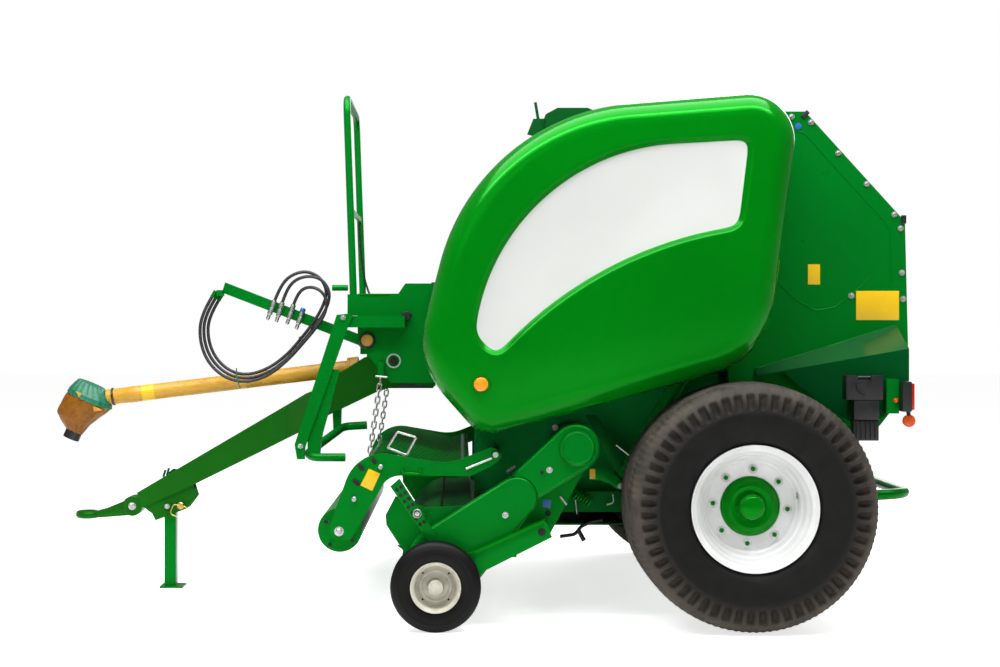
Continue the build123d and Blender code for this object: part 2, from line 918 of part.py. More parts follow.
# Headstock: cheeks and deck on the front of the body, with the plates that the fork bolts to
deck_top = 1269
cheek_side = (
    # x, z
    (439, deck_top),
    (271, deck_top),
    (242, 1311),
    (120, 1311),
    (120, 900),
    (300, 900),
    (439, 1060),
)
plate_side = (
    # x, z
    (120, 1110),
    (250, 1100),
    (345, 1020),
    (345, 950),
    (300, 900),
    (120, 880),
)
with BuildPart() as headstock:
    with Locations((front_x + 8, 0, 1125)):
        Box(16, 1200, 370)
    for y in (head_half, 12 - head_half):
        with BuildSketch(lateral(y)):
            with BuildLine():
                Polyline(*cheek_side, close=True)
            make_face()
        extrude(amount=12)
    with Locations((355, 0, deck_top - 4)):
        Box(168, 2 * head_half - 24, 8)
    for y in (fork_outer + 14, -fork_outer - fit):
        with BuildSketch(lateral(y)):
            with BuildLine():
                Polyline(*plate_side, close=True)
            make_face()
        extrude(amount=14 - fit)
    for side in (1, -1):
        with Locations(across(pivot_x, side * (fork_outer + 15), pivot_z)):
            Cylinder(26, 26)
        # lug that the guard's chain hangs from
        with Locations((342, side * (head_half + 13), 956)):
            Box(24, 26, 60)
    with Locations((360, head_half + 35, 1152.5)):
        Box(236, 70, 47)
headstock.part.label = "headstock"
export_step(headstock.part, "parts/headstock.step")

# Gearbox: cast block with its input boss and shaft
gearbox_x = front_x + 16
shaft_end = 440
with BuildPart() as gearbox:
    with Locations((gearbox_x + 125, 0, 965)):
        Box(250, 300, 190)
    with Locations(Location((gearbox_x + 270, 0, 962), (0, 90, 0))):
        Cylinder(60, 40)
    with Locations(Location(((gearbox_x + 290 + shaft_end) / 2, 0, 960), (0, 90, 0))):
        Cylinder(22, shaft_end - gearbox_x - 290)
gearbox.part.label = "gearbox"
export_step(gearbox.part, "parts/gearbox.step")

# Drive shaft: guard tube on its yoke, with the bell guard at the tractor end
pto_line = Vector(pto_front[0] - pto_rear[0], 0, pto_front[1] - pto_rear[1])
pto_plane = Plane((pto_rear[0], 0, pto_rear[1]), x_dir=(0, 1, 0), z_dir=pto_line)
pto_ball = 20
pto_ball_x = shaft_end + fit + pto_ball
pto_ball_z = pto_rear[1] + (pto_ball_x - pto_rear[0]) * pto_line.Z / pto_line.X
with BuildPart() as pto_guard:
    with BuildSketch(pto_plane.offset(-20)):
        Circle(pto_clamp)
    extrude(amount=50)
    with BuildSketch(pto_plane.offset(30)):
        Circle(pto_tube)
    extrude(amount=pto_line.length - 30)
    with Locations((pto_ball_x, 0, pto_ball_z)):
        Sphere(pto_ball)
pto_guard.part.label = "pto_guard"
export_step(pto_guard.part, "parts/pto_guard.step")

bell_plane = Plane((bell_mouth[0], 0, bell_mouth[1]), x_dir=(0.917, 0, 0.399), z_dir=(0.399, 0, -0.917))
collar_rings = (
    # distance along the bell, shift to the front, radius
    (-fit, 0, 105),
    (-20, 0, 105),
    (-70, 18, 62),
)
bell_rings = (
    (0, 0, 102),
    (60, 21, 87),
    (100, 33, 78),
    (150, 8, 38),
)


def ring_loft(rings):
    with BuildPart() as stack:
        for distance, shift, radius in rings:
            with BuildSketch(bell_plane.offset(distance)):
                with Locations((shift, 0)):
                    Circle(radius)
        loft(ruled=True)
    return stack.part


with BuildPart() as pto_collar:
    add(ring_loft(collar_rings))
    with BuildSketch(pto_plane):
        Circle(pto_tube + fit)
    extrude(amount=pto_line.length + fit, mode=Mode.SUBTRACT)
pto_collar.part.label = "pto_collar"
export_step(pto_collar.part, "parts/pto_collar.step")

with BuildPart() as pto_bell:
    add(ring_loft(bell_rings))
pto_bell.part.label = "pto_bell"
export_step(pto_bell.part, "parts/pto_bell.step")

yoke_bore = 17.5
with BuildPart() as pto_yoke:
    with BuildSketch(bell_plane.offset(150 + fit)):
        with Locations((8, 0)):
            Circle(36)
            Circle(yoke_bore, mode=Mode.SUBTRACT)
    extrude(amount=35)
pto_yoke.part.label = "pto_yoke"
export_step(pto_yoke.part, "parts/pto_yoke.step")

# Hose arm with the plate that hangs it from the headstock's deck
hose_arm_y = 106
with BuildPart() as hose_arm:
    with BuildSketch(lateral(hose_arm_y + 6)):
        with BuildLine():
            Polyline((1040, 1280), (1026, 1324), (442, 1098), (442, 1050), close=True)
        make_face()
    extrude(amount=12)
    with Locations((420, hose_arm_y, 1138)):
        Box(50, 12, 2 * (deck_top - 8 - 1138))
    # bar and ferrules that the hoses end in
    with Locations((1042, 144, 1277)):
        Box(24, 80, 24)
    for route_end, before_end in (
        ((1050, 138, 1246), (1092, 138, 1176)),
        ((1062, 155, 1254), (1106, 155, 1182)),
        ((1074, 172, 1260), (1120, 172, 1184)),
    ):
        with BuildSketch(Plane(route_end, z_dir=Vector(*route_end) - Vector(*before_end))):
            Circle(8.3)
        extrude(amount=30)
hose_arm.part.label = "hose_arm"
export_step(hose_arm.part, "parts/hose_arm.step")

# Round cap on the headstock's left cheek
cap_length = 20
with BuildPart() as round_cap:
    with Locations(across(400, head_half + cap_length / 2, 1075)):
        Cylinder(34, cap_length)
round_cap.part.label = "round_cap"
export_step(round_cap.part, "parts/round_cap.step")

# Hoses that hang from the arm, each from its coupling over an arch and a big loop to the arm's front end
hose_radius = 7
hose_routes = (
    # x, y, z from the coupling to the arm's front end
    (
        (811, 124, 1246),
        (790, 124, 1300),
        (748, 129, 1352),
        (678, 134, 1374),
        (614, 136, 1346),
        (584, 138, 1285),
        (602, 138, 1222),
        (640, 138, 1156),
        (692, 138, 1088),
        (755, 138, 1014),
        (838, 138, 952),
        (930, 138, 924),
        (1008, 138, 944),
        (1070, 138, 1006),
        (1098, 138, 1090),
        (1092, 138, 1176),
        (1050, 138, 1246),
    ),
    (
        (778, 124, 1238),
        (762, 124, 1288),
        (724, 140, 1334),
        (664, 153, 1352),
        (604, 155, 1336),
        (570, 155, 1280),
        (584, 155, 1214),
        (626, 155, 1148),
        (680, 155, 1078),
        (744, 155, 1004),
        (828, 155, 938),
        (926, 155, 908),
        (1014, 155, 928),
        (1084, 155, 996),
        (1114, 155, 1088),
        (1106, 155, 1182),
        (1062, 155, 1254),
    ),
    (
        (730, 124, 1228),
        (712, 124, 1280),
        (666, 150, 1306),
        (612, 171, 1292),
        (582, 172, 1246),
        (590, 172, 1190),
        (628, 172, 1130),
        (684, 172, 1064),
        (748, 172, 992),
        (832, 172, 924),
        (924, 172, 894),
        (1018, 172, 912),
        (1094, 172, 982),
        (1128, 172, 1080),
        (1120, 172, 1184),
        (1074, 172, 1260),
    ),
)
coupling_radius = 124 - hose_arm_y - 6 - fit
coupling_length = 90
spare_coupling = ((690, 124, 1206), (674, 124, 1252))


def hose_line(points):
    # straight runs with a round at each inner point, as large as its two runs allow
    radii = []
    for before, here, after in zip(points, points[1:], points[2:]):
        arriving, leaving = Vector(*here) - Vector(*before), Vector(*after) - Vector(*here)
        turn = radians(arriving.get_angle(leaving))
        radii.append(0.45 * min(arriving.length, leaving.length) / tan(turn / 2))
    return FilletPolyline(*points, radius=radii), min(radii)


for number, route in enumerate(hose_routes, 1):
    with BuildPart() as hose:
        with BuildLine() as line:
            path, tightest = hose_line(route)
        with BuildSketch(Plane(route[0], z_dir=Vector(*route[1]) - Vector(*route[0]))):
            Circle(hose_radius)
        sweep()
    section = pi * hose_radius**2
    print(f"hose {number}: length {path.length:.0f}, tightest round {tightest:.0f}", end=", ")
    print(f"volume over section times length {hose.part.volume / section / path.length:.4f}")
    hose.part.label = f"hose_{number}"
    export_step(hose.part, f"parts/hose_{number}.step")

with BuildPart() as hose_couplings:
    for start, onward in (*[route[:2] for route in hose_routes], spare_coupling):
        with BuildSketch(Plane(start, z_dir=Vector(*start) - Vector(*onward))):
            Circle(coupling_radius)
        extrude(amount=coupling_length)
hose_couplings.part.label = "hose_couplings"
export_step(hose_couplings.part, "parts/hose_couplings.step")

# Guard hoop over the drawbar end, a bent tube with one crossbar on two posts
hoop_foot = (457, 1184)
hoop_head = (488, 2088)
hoop_half = 350
with BuildPart() as guard_hoop:
    with BuildLine():
        FilletPolyline(
            (hoop_foot[0], hoop_half, hoop_foot[1]),
            (hoop_head[0], hoop_half, hoop_head[1]),
            (hoop_head[0], -hoop_half, hoop_head[1]),
            (hoop_foot[0], -hoop_half, hoop_foot[1]),
            radius=70,
        )
    hoop_rise = (hoop_head[0] - hoop_foot[0], 0, hoop_head[1] - hoop_foot[1])
    with BuildSketch(Plane((hoop_foot[0], hoop_half, hoop_foot[1]), z_dir=hoop_rise)):
        Circle(15)
    sweep()
    with Locations((472, 0, 1620)):
        Box(14, 2 * hoop_half, 20)
    for side in (1, -1):
        with Locations((460, side * (head_half - 30), 1222)):
            Box(42, 60, 88)
guard_hoop.part.label = "guard_hoop"
export_step(guard_hoop.part, "parts/guard_hoop.step")

# Access ladder: two stringers from the side bracket and a bent step tube
ladder_y = head_half + 70
with BuildPart() as access_ladder:
    with BuildSketch(lateral(ladder_y + 12)):
        with BuildLine():
            Polyline(
                (450, 1188),
                (520, 1180),
                (692, 650),
                (682, 590),
                (650, 590),
                (648, 640),
                (478, 1120),
                close=True,
            )
        make_face()
    extrude(amount=12)
    with BuildSketch(lateral(ladder_y)):
        with BuildLine():
            Polyline((549, 960), (507, 954), (579, 691), (590, 600), (640, 600), (640, 690), close=True)
        make_face()
    extrude(amount=26)
    with BuildLine():
        FilletPolyline(
            (485, ladder_y, 597), (662, ladder_y, 597), (514, 150, 706), (414, 150, 712), radius=45
        )
    with BuildSketch(Plane((485, ladder_y, 597), z_dir=(1, 0, 0))):
        Circle(17)
    sweep()
    with BuildSketch(lateral(fork_inner - fit)):
        with BuildLine():
            Polyline((520, 820), (560, 800), (556, 690), (524, 690), close=True)
        make_face()
    extrude(amount=30)
access_ladder.part.label = "access_ladder"
export_step(access_ladder.part, "parts/access_ladder.step")

# Pickup frame: side plates on the rotor's pivot tubes, cross tube, gauge wheel arms and their pegs
pickup_outer = pickup_half + pickup_plate
gauge_arm_inner = 1053
strap_middle = (190, 465)
strap_tilt = 56
strap_holes = 6
strap_hole_pitch = 26
pickup_side = (
    # x, z
    (-487, 640),
    (-330, 345),
    (-60, 215),
    (60, 130),
    (170, 150),
    (228, 268),
    (297, 374),
    (300, 412),
    (262, 484),
    (150, 440),
    (-60, 450),
    (-350, 700),
)
gauge_arm_side = (
    # x, z
    (-302, 407),
    (-18, 284),
    (110, 220),
    (150, 168),
    (106, 128),
    (50, 145),
    (-46, 203),
    (-328, 344),
)
with BuildPart() as pickup_frame:
    with BuildSketch(lateral(pickup_outer)):
        with Locations((rotor_x, rotor_z)):
            Circle(75)
        with BuildLine():
            Polyline(*pickup_side, close=True)
        make_face()
        with Locations((rotor_x, rotor_z)):
            Circle(pivot_tube + fit, mode=Mode.SUBTRACT)
        with Locations((reel_x, reel_z)):
            Circle(19 + fit, mode=Mode.SUBTRACT)
    extrude(amount=pickup_plate)
    with BuildSketch(lateral(gauge_arm_inner + 36)):
        with BuildLine():
            Polyline(*gauge_arm_side, close=True)
        make_face()
    extrude(amount=36)
    with BuildSketch(lateral(gauge_arm_inner + 8)):
        with BuildLine():
            Polyline((240, 556), (273, 529), (117, 300), (79, 309), close=True)
        make_face()
        with Locations(Location((strap_middle[0], strap_middle[1], 0), (0, 0, strap_tilt))):
            with GridLocations(strap_hole_pitch, 20, strap_holes, 2):
                Circle(6, mode=Mode.SUBTRACT)
    extrude(amount=8)
    spindle_inner = gauge_arm_inner + 18
    spindle_outer = gauge_y + 28
    with Locations(across(gauge_x, (spindle_inner + spindle_outer) / 2, gauge_radius)):
        Cylinder(gauge_spindle, spindle_outer - spindle_inner)
    with Locations(across(gauge_x, (gauge_arm_inner + 36 + gauge_y - 42.3) / 2, gauge_radius)):
        Cylinder(24, gauge_y - 42.3 - gauge_arm_inner - 36)
    for x, z, radius in ((-300, 372, 20), (157, 412, 10)):
        with Locations(across(x, (pickup_outer - 6 + gauge_arm_inner + 4) / 2, z)):
            Cylinder(radius, gauge_arm_inner - pickup_outer + 10)
    mirror(about=Plane.XZ)
    with Locations((-170, 0, 280)):
        Box(60, 2 * pickup_half, 60)
pickup_frame.part.label = "pickup_frame"
export_step(pickup_frame.part, "parts/pickup_frame.step")

# Pickup drive covers on the left: the upper one round the pivot, the lower one to the reel
lower_ends = ((-198, 488, 78), (reel_x, reel_z, 141))
upper_ends = ((rotor_x, rotor_z, 90), (-236, 533, 66))
cover_round = 14
cover_outer = 1050
cover_inner = guard_half + 12 + 6


def hull_face(ends, grow):
    with BuildSketch() as face:
        for x, z, radius in ends:
            with Locations((x, z)):
                Circle(radius + grow)
        make_hull()
    return face.sketch


with BuildPart() as upper_cover:
    with BuildSketch(lateral(cover_outer - 5)):
        add(hull_face(upper_ends, 0))
    extrude(amount=cover_outer - 5 - cover_inner)
    fillet(upper_cover.edges().group_by(Axis.Y)[-1], cover_round)
    with BuildSketch(lateral(cover_outer)):
        add(hull_face(lower_ends, fit))
    extrude(amount=70, mode=Mode.SUBTRACT)

with BuildPart() as drive_case:
    with BuildSketch(lateral(cover_outer)):
        add(hull_face(lower_ends, 0))
    extrude(amount=cover_outer - cover_inner)
    fillet(drive_case.edges().group_by(Axis.Y)[-1], cover_round)
    add(upper_cover.part)
    with Locations(across(rotor_x, 1054, rotor_z)):
        Cylinder(62, 18)
    # bosses that seat the covers on the pickup's side plate
    for x, z, radius, bore in ((rotor_x, rotor_z, 70, pivot_tube + 2), (reel_x, reel_z, 50, 20)):
        with BuildSketch(lateral(cover_inner)):
            with Locations((x, z)):
                Circle(radius)
                Circle(bore, mode=Mode.SUBTRACT)
        extrude(amount=cover_inner - pickup_outer - fit)
drive_case.part.label = "drive_case"
export_step(drive_case.part, "parts/drive_case.step")

# Pickup reel: shaft, discs, tine bars and spring tines
with BuildPart() as pickup_reel:
    with Locations(across(reel_x, 0, reel_z)):
        Cylinder(19, 2 * pickup_outer)
    for y in (-920, -310, 310, 920):
        with Locations(across(reel_x, y, reel_z)):
            Cylinder(reel_bar_ring + 18, 8)
    for bar in range(reel_bars):
        angle = radians(360 / reel_bars * bar + 10)
        outward = Vector(cos(angle), 0, sin(angle))
        bar_place = Vector(reel_x, 0, reel_z) + outward * reel_bar_ring
        with Locations(across(bar_place.X, 0, bar_place.Z)):
            Cylinder(12, 2 * 922)
        with BuildSketch(Plane(bar_place, x_dir=(0, 1, 0), z_dir=outward)):
            with GridLocations(tine_pitch, 1, tine_count, 1):
                Rectangle(6, 8)
        extrude(amount=tine_radius - reel_bar_ring)
pickup_reel.part.label = "pickup_reel"
export_step(pickup_reel.part, "parts/pickup_reel.step")

# Pickup bands between the tines, folded from strap, on a strip that their upper ends bolt to
band_angles = (-75, -40, -5, 30, 65, 100)
strap = 4


def band_points(radius):
    return [
        (reel_x + radius * cos(radians(angle)), reel_z + radius * sin(radians(angle)))
        for angle in band_angles
    ]


with BuildPart() as pickup_bands:
    for band in range(tine_count + 1):
        band_y = (band - tine_count / 2) * tine_pitch
        with BuildSketch(lateral(band_y + band_width / 2)):
            with BuildLine():
                Polyline(
                    *band_points(band_radius),
                    (-30, 412),
                    (-30, 412 - strap),
                    *reversed(band_points(band_radius - strap)),
                    close=True,
                )
            make_face()
        extrude(amount=band_width)
    with Locations((-31, 0, 408)):
        Box(6, 2 * pickup_half, 8)
    with BuildSketch(lateral(wall_inner - 22)):
        with BuildLine():
            Polyline((-32, 412), (-190, 448), (-190, 443), (-32, 407), close=True)
        make_face()
    extrude(amount=2 * (wall_inner - 22))
pickup_bands.part.label = "pickup_bands"
export_step(pickup_bands.part, "parts/pickup_bands.step")

# Wind guard: two bent arms with cross tubes and the crop plate
guard_corners = (
    # x, z, corner radius
    (528, 325, 40),
    (405, 668, 150),
    (60, 609, 200),
    (-108, 676, 25),
    (-150, 640, 20),
    (-110, 606, 15),
    (-25, 564, 60),
    (288, 566, 80),
    (432, 318, 40),
)
guard_tubes = (
    # x, z
    (395, 560),
    (330, 622),
    (0, 592),
)
guard_tube = 20
rod_line = ((348, 644), (290, 653), (60, 598), (-20, 618))
crop_rod = 8
crop_rods = 25

# Rods that hold the crop down: one bent strip cut into rods of its own thickness
with BuildPart() as crop_rod_set:
    with BuildSketch(Plane.XY.offset(560)):
        with Locations(((rod_line[0][0] + rod_line[-1][0]) / 2, 0)):
            with GridLocations(1, tine_pitch, 1, crop_rods):
                Rectangle(500, crop_rod)
    extrude(amount=120)
    with BuildSketch(lateral(guard_half)):
        with BuildLine():
            Polyline(
                *rod_line,
                *[(x, z - crop_rod) for x, z in reversed(rod_line)],
                close=True,
            )
        make_face()
    extrude(amount=2 * guard_half, mode=Mode.INTERSECT)
with BuildPart() as wind_guard:
    with BuildSketch(lateral(guard_half + 12)):
        with BuildLine():
            FilletPolyline(
                *[(x, z) for x, z, radius in guard_corners],
                radius=[radius for x, z, radius in guard_corners],
                close=True,
            )
        make_face()
        with Locations((guard_eye_x, guard_eye_z)):
            Circle(12 + fit, mode=Mode.SUBTRACT)
    extrude(amount=12)
    mirror(about=Plane.XZ)
    for x, z in guard_tubes:
        with Locations(across(x, 0, z)):
            Cylinder(guard_tube, 2 * guard_half)
    add(crop_rod_set.part)
wind_guard.part.label = "wind_guard"
export_step(wind_guard.part, "parts/wind_guard.step")

with BuildPart() as crop_roller:
    with Locations(across(guard_roller_x, 0, guard_roller_z)):
        Cylinder(guard_roller_radius, 2 * 950)
        Cylinder(15, 2 * (guard_half - fit))
crop_roller.part.label = "crop_roller"
export_step(crop_roller.part, "parts/crop_roller.step")

# Chains that hold the wind guard up from the headstock, from the lug down to the upper cross tube
chain_wire = 7
chain_links = 9
chain_top = Vector(342, chain_y, 926 - fit)
chain_foot = Vector(guard_tubes[0][0] - 3, chain_y, guard_tubes[0][1] + guard_tube + fit)
chain_run = chain_foot - chain_top
chain_pitch = (chain_run.length - 2 * chain_wire) / chain_links
along = chain_run.normalized()
with BuildPart() as guard_chains:
    for link in range(chain_links):
        centre = chain_top + along * (chain_wire + chain_pitch * (link + 0.5))
        flat = Vector(0, 1, 0) if link % 2 else along.cross(Vector(0, 1, 0))
        with BuildSketch(Plane(centre - flat * chain_wire / 2, x_dir=along, z_dir=flat)):
            Rectangle(chain_pitch + 2 * chain_wire - 0.4, 4 * chain_wire)
            Rectangle(chain_pitch, 2 * chain_wire, mode=Mode.SUBTRACT)
        extrude(amount=chain_wire)
    mirror(about=Plane.XZ)
guard_chains.part.label = "guard_chains"
export_step(guard_chains.part, "parts/guard_chains.step")

# Bale kicker: a bent tube behind the axle that rolls the bale clear
with BuildPart() as bale_kicker:
    with BuildLine():
        FilletPolyline(
            (kicker_pivot[0], kicker_half, kicker_pivot[1]),
            (kicker_rear[0], kicker_half, kicker_rear[1]),
            (kicker_rear[0], -kicker_half, kicker_rear[1]),
            (kicker_pivot[0], -kicker_half, kicker_pivot[1]),
            radius=80,
        )
    kicker_run = (kicker_rear[0] - kicker_pivot[0], 0, kicker_rear[1] - kicker_pivot[1])
    with BuildSketch(Plane((kicker_pivot[0], kicker_half, kicker_pivot[1]), z_dir=kicker_run)):
        Circle(kicker_tube)
    sweep()
    for side in (1, -1):
        with Locations(across(kicker_pivot[0], side * kicker_half, kicker_pivot[1])):
            Cylinder(28, 46)
    for side in (1, -1):
        with Locations(across(kicker_pivot[0], side * kicker_half, kicker_pivot[1])):
            Cylinder(kicker_pin + fit, 60, mode=Mode.SUBTRACT)
bale_kicker.part.label = "bale_kicker"
export_step(bale_kicker.part, "parts/bale_kicker.step")
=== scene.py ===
import cmath
import math

import bmesh
import bpy
import numpy as np
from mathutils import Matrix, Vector


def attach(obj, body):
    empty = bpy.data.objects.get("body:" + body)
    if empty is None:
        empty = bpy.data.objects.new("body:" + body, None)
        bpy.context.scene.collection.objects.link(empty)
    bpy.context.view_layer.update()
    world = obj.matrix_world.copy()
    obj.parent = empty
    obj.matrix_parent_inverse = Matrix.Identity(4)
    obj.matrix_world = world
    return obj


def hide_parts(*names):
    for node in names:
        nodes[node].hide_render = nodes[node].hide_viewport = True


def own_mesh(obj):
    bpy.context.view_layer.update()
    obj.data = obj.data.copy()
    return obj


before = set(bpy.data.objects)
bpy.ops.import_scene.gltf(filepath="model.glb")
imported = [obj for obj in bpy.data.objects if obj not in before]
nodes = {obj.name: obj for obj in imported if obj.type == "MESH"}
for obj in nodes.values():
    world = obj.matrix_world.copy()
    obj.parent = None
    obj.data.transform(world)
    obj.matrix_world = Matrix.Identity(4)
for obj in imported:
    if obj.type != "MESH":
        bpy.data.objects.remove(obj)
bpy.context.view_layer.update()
mm = 0.001  # sizes below are in millimetres, as on the drawings
sides = {"left": 1, "right": -1}
scene = bpy.context.scene
link = scene.collection.objects.link


# Nodes and materials

def addNode(tree, kind, links=None, **settings):
    # a link's source is a socket, a node, which gives its first output, or a value
    node = tree.nodes.new(kind)
    for name, value in settings.items():
        setattr(node, name, value)
    for socket, source in (links or {}).items():
        if isinstance(source, bpy.types.Node):
            source = source.outputs[0]
        if isinstance(source, bpy.types.NodeSocket):
            tree.links.new(source, node.inputs[socket])
        else:
            node.inputs[socket].default_value = source
    return node


def linearColour(hexText):
    # sRGB hex to the linear values that the shader wants
    channels = [int(hexText[i:i + 2], 16) / 255 for i in (1, 3, 5)]
    return [c / 12.92 if c <= 0.04045 else ((c + 0.055) / 1.055) ** 2.4 for c in channels] + [1]


def makeFinish(name, colour, second, patch, rough, grain, depth, sockets=None, cut=0.35, soil=None, ring=None):
    # base colour that drifts to a second one in patches, roughness that varies with it, and a fine grain
    material = bpy.data.materials.new(name)
    material.use_nodes = True
    tree = material.node_tree
    shader = tree.nodes["Principled BSDF"]
    place = addNode(tree, "ShaderNodeTexCoord").outputs["Object"]
    patches = addNode(tree, "ShaderNodeTexNoise", {
        "Vector": place, "Scale": 1 / (patch * mm), "Detail": 5.0, "Roughness": 0.6})
    share = addNode(tree, "ShaderNodeMapRange", {"Value": patches, "From Min": cut, "From Max": 0.72})
    paint = addNode(tree, "ShaderNodeMix", {
        "Factor": share, "A": linearColour(colour), "B": linearColour(second)}, data_type="RGBA").outputs["Result"]
    if soil:
        # dust and grass juice that gather low on the machine
        height = addNode(tree, "ShaderNodeSeparateXYZ", {"Vector": place}).outputs["Z"]
        low = addNode(tree, "ShaderNodeMapRange", {
            "Value": height, "From Min": 0.0, "From Max": soil["top"] * mm, "To Min": soil["most"], "To Max": 0.0})
        speckle = addNode(tree, "ShaderNodeTexNoise", {"Vector": place, "Scale": 55.0, "Detail": 8.0})
        amount = addNode(tree, "ShaderNodeMath", {0: low, 1: speckle}, operation="MULTIPLY")
        paint = addNode(tree, "ShaderNodeMix", {
            "Factor": amount, "A": paint, "B": linearColour(soil["colour"])}, data_type="RGBA").outputs["Result"]
    if ring:
        # another colour near the wheel's middle, by the distance from its axis
        x, z = ring["centre"]
        centred = addNode(tree, "ShaderNodeMapping", {
            "Vector": place, "Location": (-x * mm, 0, -z * mm), "Scale": (1, 0, 1)})
        distance = addNode(tree, "ShaderNodeVectorMath", {0: centred}, operation="LENGTH").outputs["Value"]
        outer = addNode(tree, "ShaderNodeMapRange", {
            "Value": distance, "From Min": ring["from"] * mm, "From Max": ring["to"] * mm})
        paint = addNode(tree, "ShaderNodeMix", {
            "Factor": outer, "A": linearColour(ring["colour"]), "B": paint}, data_type="RGBA").outputs["Result"]
    roughness = addNode(tree, "ShaderNodeMapRange", {
        "Value": patches, "From Min": 0.3, "From Max": 0.7, "To Min": rough[0], "To Max": rough[1]})
    fine = addNode(tree, "ShaderNodeTexNoise", {"Vector": place, "Scale": 1 / (grain * mm), "Detail": 3.0})
    bump = addNode(tree, "ShaderNodeBump", {"Height": fine, "Distance": depth * mm, "Strength": 1.0})
    tree.links.new(paint, shader.inputs["Base Color"])
    tree.links.new(roughness.outputs["Result"], shader.inputs["Roughness"])
    tree.links.new(bump.outputs["Normal"], shader.inputs["Normal"])
    for socket, value in (sockets or {}).items():
        shader.inputs[socket].default_value = value
    return material


greenSheen = linearColour("#40ff50")  # the gloss of a pigment this strong is green, not white
greenGloss = {"Specular Tint": greenSheen}
wetGreen = {"Specular IOR Level": 0.6, "Specular Tint": greenSheen}
finishLooks = {
    # colour, second colour, patch, roughness from and to, grain, depth of the grain, shader sockets
    # sprayed two-pack enamel over plate: a deep gloss with faint orange peel
    "enamelledPlate": ("#00631a", "#005d18", 380, (0.27, 0.32), 9, 0.09, wetGreen),
    # the same enamel on the drawbar, older and yellower
    "weatheredEnamel": ("#164f10", "#12470f", 260, (0.28, 0.4), 8, 0.1, greenGloss),
    # painted shade and reflection: the plates under the wing, deep green and clean, painted darker than the enamel to
    # stand in for their shade and the dark ground they mirror
    "paintedWingShade": ("#023a1c", "#03401c", 300, (0.16, 0.24), 20, 0.12, greenGloss),
    # chamber sides behind the doors: dusty, with a pale bloom
    "dustyEnamel": ("#0c7836", "#0e6a30", 260, (0.5, 0.6), 7, 0.1, greenGloss),
    # painted shade: the same enamel, darker and duller, in the covered places
    "shadedEnamel": ("#04401a", "#083419", 240, (0.4, 0.55), 7, 0.1, greenGloss),
    # moulded glass fibre with a polished gel coat: clear, wet reflections
    "gelCoatDoor": ("#00680b", "#006009", 600, (0.14, 0.18), 40, 0.02, wetGreen),
    # white vinyl film laid in the recess: smooth, a little less gloss than the gel coat
    "vinylPanel": ("#bcbebb", "#b7b9b6", 500, (0.22, 0.28), 30, 0.03),
    # enamel over a drop forging: rougher skin under the paint
    "enamelledForging": ("#02651a", "#025617", 60, (0.3, 0.45), 5, 0.35),
    # moulded polyethylene of the shaft guards: waxy, faded and scuffed
    "polyethyleneYellow": ("#c39322", "#b0821c", 45, (0.36, 0.5), 3, 0.06, {"Subsurface Weight": 0.05}),
    # the bell at the tractor end, browned by grease and sun
    "polyethyleneOrange": ("#8c5400", "#704200", 30, (0.36, 0.5), 3, 0.08, {"Specular IOR Level": 0.25}),
    "polyethyleneGreen": ("#0b6b4e", "#085a42", 35, (0.38, 0.5), 3, 0.06),
    # moulded black polypropylene with a fine texture
    "polypropyleneBlack": ("#0b0c0d", "#141517", 50, (0.34, 0.5), 1.6, 0.05),
    # vulcanised natural rubber: black at the bead, a soft brown with dust towards the crown
    "vulcanisedTyre": ("#2c2926", "#4a443d", 70, (0.6, 0.8), 2.2, 0.22, {"Specular IOR Level": 0.2}),
    # the small tyres: plain black rubber, wiped clean
    "tyreSidewall": ("#060606", "#0a0a09", 150, (0.42, 0.56), 3, 0.12, {"Specular IOR Level": 0.15}),
    # silver wheel enamel over a pressed rim: satin, slightly metallic
    "wheelEnamel": ("#dadadc", "#c9c8c6", 120, (0.3, 0.42), 2, 0.04),
    # the same enamel on the small wheels, dulled by mud and crop juice
    "dustyWheelEnamel": ("#bab7a9", "#a19d8d", 30, (0.35, 0.5), 2, 0.05),
    # bright zinc plating on pins, chains and couplings: pale, a little milky
    "zincPlating": ("#c8cac8", "#a9aba6", 14, (0.26, 0.44), 1.2, 0.04, {"Metallic": 1.0}),
    # yellow passivated clips and pins
    "passivatedBrassTone": ("#cdb06a", "#b89a55", 12, (0.28, 0.4), 1.2, 0.03, {"Metallic": 1.0}),
    # rolled steel that the crop keeps bright, with brown traces
    "cropWornSteel": ("#7d7b76", "#5f5348", 90, (0.3, 0.5), 4, 0.12, {"Metallic": 0.9}),
    # oil hardened spring wire: dark grey with a sheen
    "springSteel": ("#232427", "#35332f", 30, (0.3, 0.45), 1, 0.03, {"Metallic": 0.9}),
    # hard chrome on the cylinder rods
    "hardChrome": ("#d9dadb", "#cfd0d2", 80, (0.06, 0.12), 4, 0.01, {"Metallic": 1.0}),
    # sand cast iron under a coat of dark paint
    "paintedCasting": ("#1d3324", "#26402c", 40, (0.5, 0.65), 2.4, 0.4),
    # extruded rubber hose with a wrapped surface
    "wrappedHose": ("#18181a", "#262628", 24, (0.42, 0.55), 1.4, 0.09),
    # painted shade: a near-black sheet laid over a drilled hole, standing in for the shade inside it
    "openBore": ("#050505", "#0c0c0c", 10, (0.8, 0.9), 2, 0.02),
    # yellow film of the plates that carry no words here
    "yellowFilm": ("#dcb103", "#d2a803", 60, (0.3, 0.36), 6, 0.02),
    # moulded polycarbonate lenses: wet gloss and some depth
    "amberLens": ("#ff8f0a", "#f27f06", 20, (0.08, 0.12), 3, 0.05, {"Subsurface Weight": 0.15}),
    "orangeLens": ("#e4560a", "#cf4a08", 20, (0.08, 0.12), 3, 0.05),
    "redLens": ("#b0120b", "#990e08", 20, (0.08, 0.12), 3, 0.05, {"Subsurface Weight": 0.1}),
    # blue polyethylene of caps and the small film plates
    "blueCap": ("#1c56a8", "#184b95", 20, (0.3, 0.4), 2, 0.03),
}
